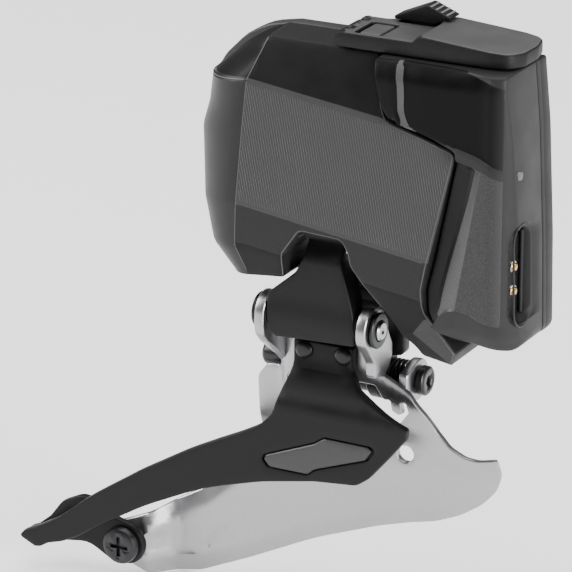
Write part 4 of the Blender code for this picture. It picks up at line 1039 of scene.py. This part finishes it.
# Near black with a little gloss: painted shade, for the dark under the outer link where the rivets sit.
rivet_black = surface("rivet_black", (0.008, 0.008, 0.0085), 0.28, 0.4, bump=0.1)
rivets = copies("cage_rivets", model, [(x, -13.0, z) for x, z in RIVETS], rivet_black)
settle(rivets, "cage", "cage_rivet_1", "cage_rivet_2", slot="steel")
profile = [(-16.2, 0), (-16.2, 1.7), (-16.5, 2.0), (-21.7, 2.0), (-21.7, 3.8), (-21.9, 4.0), (-23.0, 4.0)]
profile += [(-23.4, 3.8), (-23.7, 3.2), (-23.85, 0)]
tail_screw = lathe("tail_screw_turned", profile, TAIL_SCREW, black_steel, "Y", 56)
x, z = TAIL_SCREW
for half_x, half_z, depth in ((2.3, 0.5, -22.5), (0.5, 2.3, -22.6)):
    slot_shape = box(x - half_x, z - half_z, x + half_x, z + half_z, 0.2)
    cut(tail_screw, slab("slot", slot_shape, -25, depth, black_steel, edge=0.05))
settle(tail_screw, "cage", "tail_screw", slot="forged_black")
hexagon = rounded([(p[0], p[1], 0.3) for p in circle(TAIL_SCREW, 3.3, 6)], 1.0)
nut_hole = circle(TAIL_SCREW, 2.1)
tail_nut = slab("tail_nut_cut", hexagon, -17.0, -15.0, steel, edge=0.25, pitch=3, holes=[nut_hole])
settle(tail_nut, "cage", "tail_nut", slot="steel")

# ---- battery
# A clip-on battery in a two-part moulded nylon case. The outboard face is scooped along the housing, then
# breaks at a narrow strip into a grained face. Above, a wing with a glossy recess reaches back over the
# housing. The strip and a band on the recess's rear wall are painted a lighter grey, as painted highlight.

BATTERY_Y = -27.0
FRONT_X, FRONT_REACH = 15.5, 5.9  # where the side turns into the rounded front corner, and how far that goes
FRONT_EDGE_X = 18.7
CASE_GREY = (0.019, 0.019, 0.0197)
battery_grey = surface("battery_grey", CASE_GREY, 0.48, specular=0.2, bump=0.25)
battery_grain = surface(
    "battery_grain", (0.017, 0.017, 0.018), 0.5, specular=0.45, bump=1.0, depth=0.0001, grain=3200,
    mottle=0.6, speck=0.9, fade=("X", 16.5, 18.6, CASE_GREY),
)
# Lighter grey for the strip and the recess wall's band: painted highlight, where these faces catch the light.
strip_grey = surface("strip_grey", (0.06, 0.06, 0.062), 0.42, specular=0.3, bump=0.3, mottle=0.2)
scoop_black = surface("scoop_black", (0.011, 0.011, 0.0115), 0.42, specular=0.15, bump=0.2)
wing_black = surface("wing_black", (0.004, 0.004, 0.0043), 0.42, specular=0.1, bump=0.15)
recess_black = surface(
    "recess_black", (0.003, 0.003, 0.0032), 0.36, specular=0.09, bump=0.1, mottle=0.2,
    fade=("X", 16.2, 18.8, CASE_GREY),
)

STRIP_TOP, STRIP_FOOT = (14.7, 35.0), (9.3, 4.7)  # ends of the strip's sharp outboard edge
RECESS_DEPTH = 0.9
WING_BEND, WING_ROLL = 49.2, 4.2  # above this height the wing's face rolls in under the latch, and how far
SCOOP_STEP, SCOOP_DISH = 1.5, 0.4
CORNER_DEPTH, BEVEL_LEAN = 7.5, 0.33


def strip_edge(z):
    """X of the strip's sharp edge."""
    share = (z - STRIP_FOOT[1]) / (STRIP_TOP[1] - STRIP_FOOT[1])
    return STRIP_FOOT[0] + share * (STRIP_TOP[0] - STRIP_FOOT[0])


def strip_width(z):
    """The strip narrows as it climbs."""
    return 3.7 - 1.9 * ease((z - 5) / 29)


WING_LIP = 1.6  # the wing overhangs the side by this much under its recess


def wing_foot(x):
    """Z of the wing's lower edge."""
    foot = np.interp(x, (-4.6, -3.0, 0.3, 4.7, 9.0, 13.2, 18.5), (43.4, 40.4, 38.8, 37.9, 37.1, 36.1, 34.0))
    return foot - WING_LIP


def case_foot(x):
    """Where the side breaks into the bevel that runs along the case's bottom."""
    return np.interp(x, (4.0, 5.2, 6.4, 7.8, 9.3, 12.0, 14.7, 19.0), (0.2, 1.6, 3.3, 4.3, 4.7, 4.4, 3.2, 2.4))


lower_rim = [(4.7, 37.9, 20), (9.0, 37.1, 20), (13.2, 36.1, 20), (17.8, 34.1, 20), (23.0, 32.6)]
upper_rim = [(23.0, 51.3), (18.5, 51.8, 20), (14.0, 52.8, 20), (9.0, 54.2, 9), (5.5, 57.0)]
recess_rim = [(-6.6, 57.0), (-4.9, 48.5, 20), (-4.6, 43.5, 6), (-3.1, 40.3, 3), (0.2, 38.8, 6)]
recess_rim = rounded([*recess_rim, *lower_rim, *upper_rim], 0.7)
lower_floor = [(4.7, 38.4, 20), (9.0, 37.7, 20), (13.2, 36.7, 20), (17.8, 34.8, 20), (22.5, 33.3)]
upper_floor = [(22.5, 50.3), (18.5, 50.9, 20), (14.0, 51.9, 20), (8.7, 53.3, 9), (4.2, 54.2, 2), (3.2, 56.5)]
recess_floor = [(-4.2, 56.5), (-2.6, 48.5, 20), (-2.7, 43.4, 6), (-1.7, 40.9, 3), (0.6, 39.3, 6)]
recess_floor = rounded([*recess_floor, *lower_floor, *upper_floor], 0.7)
BAND_X = (0.3, -2.6, -3.75, -4.0, -5.5)  # rear edge of the painted highlight band on the recess's rear wall
BAND_Z = (38.9, 40.5, 43.5, 48.5, 56.0)


def recess_share(x, z):
    """How far down the recess's wall a place is: 0 outside its rim, 1 on its floor."""
    here = np.array([(x, z)])
    if z < 32 or not inside(here, [recess_rim])[0]:
        return 0.0
    if inside(here, [recess_floor])[0]:
        return 1.0
    outer, inner = clearance(here, [recess_rim])[0], clearance(here, [recess_floor])[0]
    return outer / (outer + inner)


def battery_front(x, z):
    """Y of the battery's outboard face, with its scoop, strip, wing and recess."""
    y = BATTERY_Y + 0.5 * ease((2.0 - x) / 9)
    y += WING_ROLL * ease((z - WING_BEND) / (2 * (TOP_Z - WING_BEND))) * (1 - 0.6 * ease((x - 4) / 12))
    foot = case_foot(x)
    behind, width = strip_edge(z) - x, strip_width(z)
    under_wing = wing_foot(x) - z
    if under_wing > 0 and behind > 0:
        drop = SCOOP_STEP * min(1.0, behind / width) + SCOOP_DISH * ease((behind - width) / 0.9)
        y += drop * ease((z - foot) / 0.5) * ease(under_wing / 0.9)
    y += RECESS_DEPTH * recess_share(x, z) * ease((18.6 - x) / 5)
    corner = min(1.0, max(0.0, (x - FRONT_X) / FRONT_REACH))
    y += CORNER_DEPTH * (1 - math.sqrt(1 - corner**2 * 0.985))
    return y + BEVEL_LEAN * max(0.0, foot - z) + 0.9 * ease((0.5 - z) / 4)


case_corners = [(-9.7, TOP_Z, 0.5), (-8.5, 48.0, 9), (-7.5, 43.8, 4), (-5.7, 41.3, 3), (1.6, 39.2, 9)]
case_corners += [(9.0, 37.0, 1), (4.0, 13.5, 9), (2.5, 7.5, 6), (2.7, 2.9, 5), (4.8, -1.0, 4), (7.9, -2.5, 3)]
case_front = [(20.0, -3.6, 2), (21.5, -2.0, 2), (21.1, 17.0, 40), (20.0, 40.0, 60), (18.8, TOP_Z, 0.5)]
case_outline = rounded(case_corners + case_front, 0.9)
case_lines = [[*recess_rim, recess_rim[0]], [*recess_floor, recess_floor[0]], list(zip(BAND_X, BAND_Z))]
for share, off in ((0.0, 0.0), (1.0, 0.0), (1.0, 0.45), (1.0, 0.9)):
    case_lines.append([(strip_edge(z) - strip_width(z) * share - off, z) for z in np.arange(4.2, 37.5, 0.7)])
for off in (0.0, 0.5):
    case_lines.append([(x, case_foot(x) + off) for x in np.arange(3.0, 21.5, 0.4)])
case_lines.append([(FRONT_EDGE_X, z) for z in np.arange(3.2, 50.5, 0.9)])
case_lines.append([(x, wing_foot(x)) for x in np.arange(8.0, 18.6, 0.8)])
case = slab(
    "battery_case_moulded", case_outline, battery_front, -11.5, battery_grey,
    edge=0.5, pitch=0.85, creases=case_lines, sharp=24,
)


def battery_zone(x, y, z):
    """Battery patch tone: 0 smooth, 1 grained, 2 strip's painted highlight, 3 scoop, 4 recess, 5 wing."""
    if y > battery_front(x, z) + 1.2 or x > FRONT_EDGE_X or z < case_foot(x) + 0.05:
        return 0
    share = recess_share(x, z)
    if share > 0.97:
        return 4
    if z > wing_foot(x):
        if x > 1.5:
            return 0
        # On the recess's rear wall, a band in front of BAND_X gets the strip's lighter grey as painted
        # highlight.
        return 2 if share > 0 and x > np.interp(z, BAND_Z, BAND_X) else 5
    behind = (strip_edge(z) - x) / strip_width(z)
    if behind > 1:
        return 3
    return 2 if behind > 0 else 1


paint(case, battery_zone, battery_grain, strip_grey, scoop_black, recess_black, wing_black)
cut(case, slab("port", box(-24.4, 2.3, -17.6, 22.2, 3.39), 18.2, 26.0, scoop_black, axis="X", edge=0.05))
settle(case, "battery", "battery_case", slot="battery_graphite")

back_corners = [(-7.4, TOP_Z, 0.5), (-7.9, 48.0, 9), (-7.4, 44.0, 4), (-5.6, 41.5, 3), (1.6, 39.4, 9)]
back_corners += [(9.5, 37.0, 1), (4.5, 13.4, 9), (3.0, 7.6, 6), (3.2, 3.0, 5), (5.4, -0.8, 4), (8.2, -2.6, 3)]
back = slab(
    "battery_back_moulded", rounded(back_corners + case_front, 1.2), -11.35, -9.8, battery_grey,
    edge=0.3, pitch=6, holes=[circle((0.0, z), 1.9, 24) for z in (43.6, 48.0)],
)
settle(back, "battery", "battery_back", slot="battery_graphite")
step_corners = [(13.2, TOP_Z, 0.6), (13.2, -2.9, 1), (20.2, -3.7, 2), (21.6, -2.0, 2), (21.3, 17.0, 40)]
step_corners += [(20.2, 40.0, 60), (18.9, TOP_Z, 0.6)]
step = slab("battery_back_step", rounded(step_corners, 1.5), -10.4, -6.5, battery_grey, edge=0.9, pitch=5)
settle(step, "battery", slot="battery_graphite")

# ---- charging slot
# The slot takes the charger's nose. Its floor is a separate black insert with two gold-plated spring pins in
# bright rings. A lip is moulded round its mouth, and a key down its inboard wall keeps the charger the right
# way round.

PINS = ((-21.0, 8.7), (-21.0, 13.7))  # Y and Z of the two pins
port_floor = slab(
    "charge_port_floor", box(-24.2, 2.5, -17.8, 22.0, 3.2), 18.5, 18.9, scoop_black,
    axis="X", edge=0.1, pitch=3, holes=[circle(place, 1.15, 24) for place in PINS],
)
settle(port_floor, "battery", "charge_port", slot="battery_graphite")
mouth = []
for y, z in box(-24.9, 1.8, -17.1, 22.7, 3.89):
    mouth.append((np.interp(z, (-2, 17.7, 40, 53), (21.5, 21.1, 20.1, 18.8)) - 0.15, y, z))
lip = swept("charge_port_lip", [[*mouth, mouth[0]]], battery_grey, radius=0.22, sides=10)
settle(lip, "battery", slot="battery_graphite")
key_line = [(19.6, -18.3, z) for z in np.arange(3.6, 21.4, 0.9)]
key = swept("charge_port_key", [key_line], battery_grey, radius=0.4, sides=10)
settle(key, "battery", slot="battery_graphite")
pin_profile = [(18.4, 0), (18.4, 0.85), (19.5, 0.85), (19.8, 0.7), (19.95, 0.4), (19.95, 0)]
ring_profile = [(18.6, 0.95), (18.6, 1.3), (19.1, 1.3), (19.25, 1.2), (19.1, 0.95)]
for place, name in zip(PINS, ("charge_pin_1", "charge_pin_2")):
    made = lathe(f"{name}_turned", pin_profile, place, gold, sides=28)
    settle(made, "battery", name, slot="gold_contact")
    made = lathe(f"{name}_ring", ring_profile, place, bright_steel, sides=28, bored=True)
    settle(made, "battery", slot="steel")

# ---- status window
# A small window of clear plastic in the battery's front, with a lamp behind it that shows the charge. It is
# pressed into the case from inside, and looks grey while the lamp is off.

window_grey = surface("window_grey", (0.04, 0.04, 0.041), 0.3, specular=0.4, coat=0.2, bump=0.05)
pane = rounded([(-23.2, 34.0, 0.4), (-20.3, 33.1, 0.4), (-20.5, 31.5, 0.5), (-22.5, 31.9, 0.5)], 0.6)
status_window = slab("status_window", pane, 19.8, 20.5, window_grey, axis="X", edge=0.15, pitch=1.0)
settle(status_window, "battery", slot="battery_graphite")

# ---- latch lever
# The lever over the battery's top, forged and satin black, with its top painted a lighter grey as a painted
# reflection. It turns on a steel pin between the cover's two ears, and its raised front half presses the
# battery down.

LATCH_PIN = (-18.6, 54.9)  # X and Z
LATCH_ROUND = 1.6  # radius of the lever's rear end, about the pin
LATCH_FOOT = 53.3
EAR_PLACES = (-18.0, -11.5)  # Y of the cover's two ears, which stand in slots in the lever
latch_black = surface("latch_black", (0.008, 0.008, 0.0084), 0.45, 0.1, specular=0.2, bump=0.5, mottle=0.3)
# The top's lighter grey is a painted reflection of the light from above, on a black part.
latch_top = surface("latch_top", (0.075, 0.075, 0.076), 0.36, 0.2, specular=0.5, bump=0.15)


def rear_half(x):
    """Half the lever's thickness in its rounded rear end."""
    behind = (x - LATCH_PIN[0]) / LATCH_ROUND
    return LATCH_ROUND * math.sqrt(max(0.0, 1 - min(1.0, behind * behind)))


def latch_upper(x, y):
    """Z of the lever's top: low at the rear, a groove, then a raised front that falls away."""
    if x < LATCH_PIN[0]:
        return LATCH_PIN[1] + rear_half(x)
    return 56.4 + 1.3 * ease((x + 2.9) / 1.5) - 1.5 * max(0.0, (x + 0.5) / 19)


def latch_lower(x, y):
    """Z of the lever's underside."""
    return LATCH_PIN[1] - rear_half(x) if x < LATCH_PIN[0] else LATCH_FOOT


plan = [(-20.1, -22.2, 0.5), (13.5, -22.2, 6), (17.6, -21.3, 3), (19.3, -17.5, 3), (19.4, -12.0, 6)]
plan += [(18.2, -6.6, 3), (14.0, -5.6, 3), (-9.0, -5.6, 2), (-14.5, -9.0, 2), (-20.1, -9.0, 0.5)]
button_hole = box(-15.9, -20.8, -10.2, -12.7, 0.5, 1.0)
catch_hole = box(-11.6, -10.2, -3.9, -7.0, 0.4, 1.0)
latch_lines = [[(x, -21.9), (x, -5.9)] for x in (-19.6, -19.1, -18.6, -2.9, -2.4, -1.9, -1.4)]
lever = slab(
    "latch_lever_forged", rounded(plan, 1.0), latch_lower, latch_upper, latch_black,
    axis="Z", edge=0.5, pitch=1.1, holes=[button_hole, catch_hole], creases=latch_lines,
)
for y in EAR_PLACES:
    slot_shape = rounded([(-24.0, y - 1.1), (-17.1, y - 1.1, 0.2), (-17.1, y + 1.1, 0.2), (-24.0, y + 1.1)])
    cut(lever, slab("ear_slot", slot_shape, 50.0, 60.0, latch_black, axis="Z", edge=0.05))


def lever_zone(x, y, z):
    """Lever patch tone: 0 satin, 1 the top's painted reflection, less its groove and rear end."""
    return int(z > latch_upper(x, y) - 0.12 and x > -18 and not -2.9 < x < -1.4)


paint(lever, lever_zone, latch_top)
settle(lever, "latch", "latch_lever", slot="forged_black")

# ---- latch ears
# Two ears of the same nylon, moulded on the cover's top. They reach up through the lever's slots and hold its
# steel pin.

ear_corners = [(-20.3, 52.6), (-17.2, 52.6), (-17.45, 55.0, 1.0), (-17.5, 56.0, 1.1)]
ear = rounded([*ear_corners, (-19.7, 56.0, 1.1), (-19.75, 55.0, 1.0)], 0.6)
# The ears share the upper facet's darker tone, which is painted shade.
for y, name in zip(EAR_PLACES, ("latch_ear_1", "latch_ear_2")):
    settle(slab(name, ear, y - 0.8, y + 0.8, facet_black, edge=0.2, pitch=1.0), "housing")

# ---- set-up button
# A square button with a dark grey cap that shows through the lever's window. Its steel stem goes down into
# the cover, to the switch inside.

button_cap = box(-15.2, -20.3, -10.8, -13.2, 0.5, 1.0)
# The cap shares the lever top's lighter grey, a painted reflection.
button = slab("setup_button_cap", button_cap, 54.0, 56.3, latch_top, axis="Z", edge=0.35)
settle(button, "button", "setup_button", slot="forged_black")
stem_shape = box(-14.6, -19.2, -11.4, -14.0)
stem = slab("setup_button_stem", stem_shape, 51.9, 54.2, black_steel, axis="Z", edge=0.1)
settle(stem, "button", slot="forged_black")

# ---- thumb catch
# A black wedge that slides back on the lever to free it. Its front slope has four ridges for the thumb, in
# light grey as painted highlight, and its foot runs in a slot in the lever.

wedge_corners = [(-14.0, 56.9, 0.4), (-5.4, 60.6, 0.5), (0.2, 58.4, 0.4), (-1.0, 58.0, 0.3)]
wedge = rounded([*wedge_corners, (-3.6, 56.9, 0.3)], 0.8)
catch = slab("thumb_catch_wedge", wedge, -10.6, -6.2, latch_black, edge=0.3, pitch=1.2)
settle(catch, "catch", "thumb_catch", slot="forged_black")
foot_shape = box(-9.1, -9.9, -4.2, -7.3)
foot = slab("thumb_catch_foot", foot_shape, 53.7, 57.6, latch_black, axis="Z", edge=0.1)
settle(foot, "catch", slot="forged_black")
# Light grey ridges on the black wedge: painted highlight, for the bright bands the ridges catch.
ridge_grey = surface("ridge_grey", (0.3, 0.3, 0.305), 0.3, 0.5, bump=0.1)
RIDGE_STEP, RIDGE_DROP = 1.15, 0.45
ridges = []
for i in range(4):
    x, z = -4.6 + RIDGE_STEP * i, 60.28 - RIDGE_DROP * i
    ridges.append([(x, -10.3, z), (x, -6.5, z)])
settle(swept("thumb_catch_ridges", ridges, ridge_grey, radius=0.2, sides=10), "catch", slot="forged_black")

# ---- floor, lights and camera
# A plain pale floor just under the part, which glows a little so that it stays light all round. Three soft
# lights stand at the rear, in front and overhead, and the camera has a long lens.

floor_mesh = bpy.data.meshes.new("floor")
floor_size = 3.0
drop = cad_box[0].z - 0.0005
floor_corners = [(-1, -1), (1, -1), (1, 1), (-1, 1)]
floor_mesh.from_pydata([(x * floor_size, y * floor_size, drop) for x, y in floor_corners], [], [(0, 1, 2, 3)])
floor = linked("floor", floor_mesh)
floor_white = surface("floor_white", (0.85, 0.85, 0.85), 0.6, mottle=0.01, bump=0.0, specular=0.2)
floor_shader = floor_white.node_tree.nodes["Principled BSDF"]
floor_shader.inputs["Emission Color"].default_value = (1, 1, 1, 1)
floor_shader.inputs["Emission Strength"].default_value = 0.6
floor_mesh.materials.append(floor_white)

world = bpy.data.worlds.new("studio")
bpy.context.scene.world = world
world.use_nodes = True
backdrop = world.node_tree.nodes["Background"]
backdrop.inputs["Color"].default_value = (0.93, 0.94, 0.96, 1)
backdrop.inputs["Strength"].default_value = 0.2


def softbox(name, place, power, width, height):
    """A rectangular light that faces the part."""
    light = bpy.data.lights.new(name, "AREA")
    light.shape = "RECTANGLE"
    light.size = width
    light.size_y = height
    light.energy = power
    holder = linked(name, light)
    holder.location = place
    aim = Vector((-0.03, -0.01, 0.0)) - Vector(place)
    holder.rotation_euler = aim.to_track_quat("-Z", "Y").to_euler()


softbox("key", (-0.85, -0.35, 0.5), 11.0, 0.4, 0.7)
softbox("front", (0.9, -0.3, 0.15), 15.0, 0.3, 0.8)
softbox("over", (0.05, 0.15, 1.6), 45.0, 2.2, 2.2)

camera_data = bpy.data.cameras.new("camera")
camera_data.lens = 240
camera_data.sensor_width = 36
camera_data.clip_start = 0.01
camera = linked("camera", camera_data)
turn, tilt = math.radians(28), math.radians(20)
toward = Vector((math.sin(turn) * math.cos(tilt), -math.cos(turn) * math.cos(tilt), math.sin(tilt)))
camera.location = (0.308239, -0.659030, 0.264117)  # about 0.78 m away, set off a little to frame the part
camera.rotation_euler = (-toward).to_track_quat("-Z", "Y").to_euler()
bpy.context.scene.camera = camera
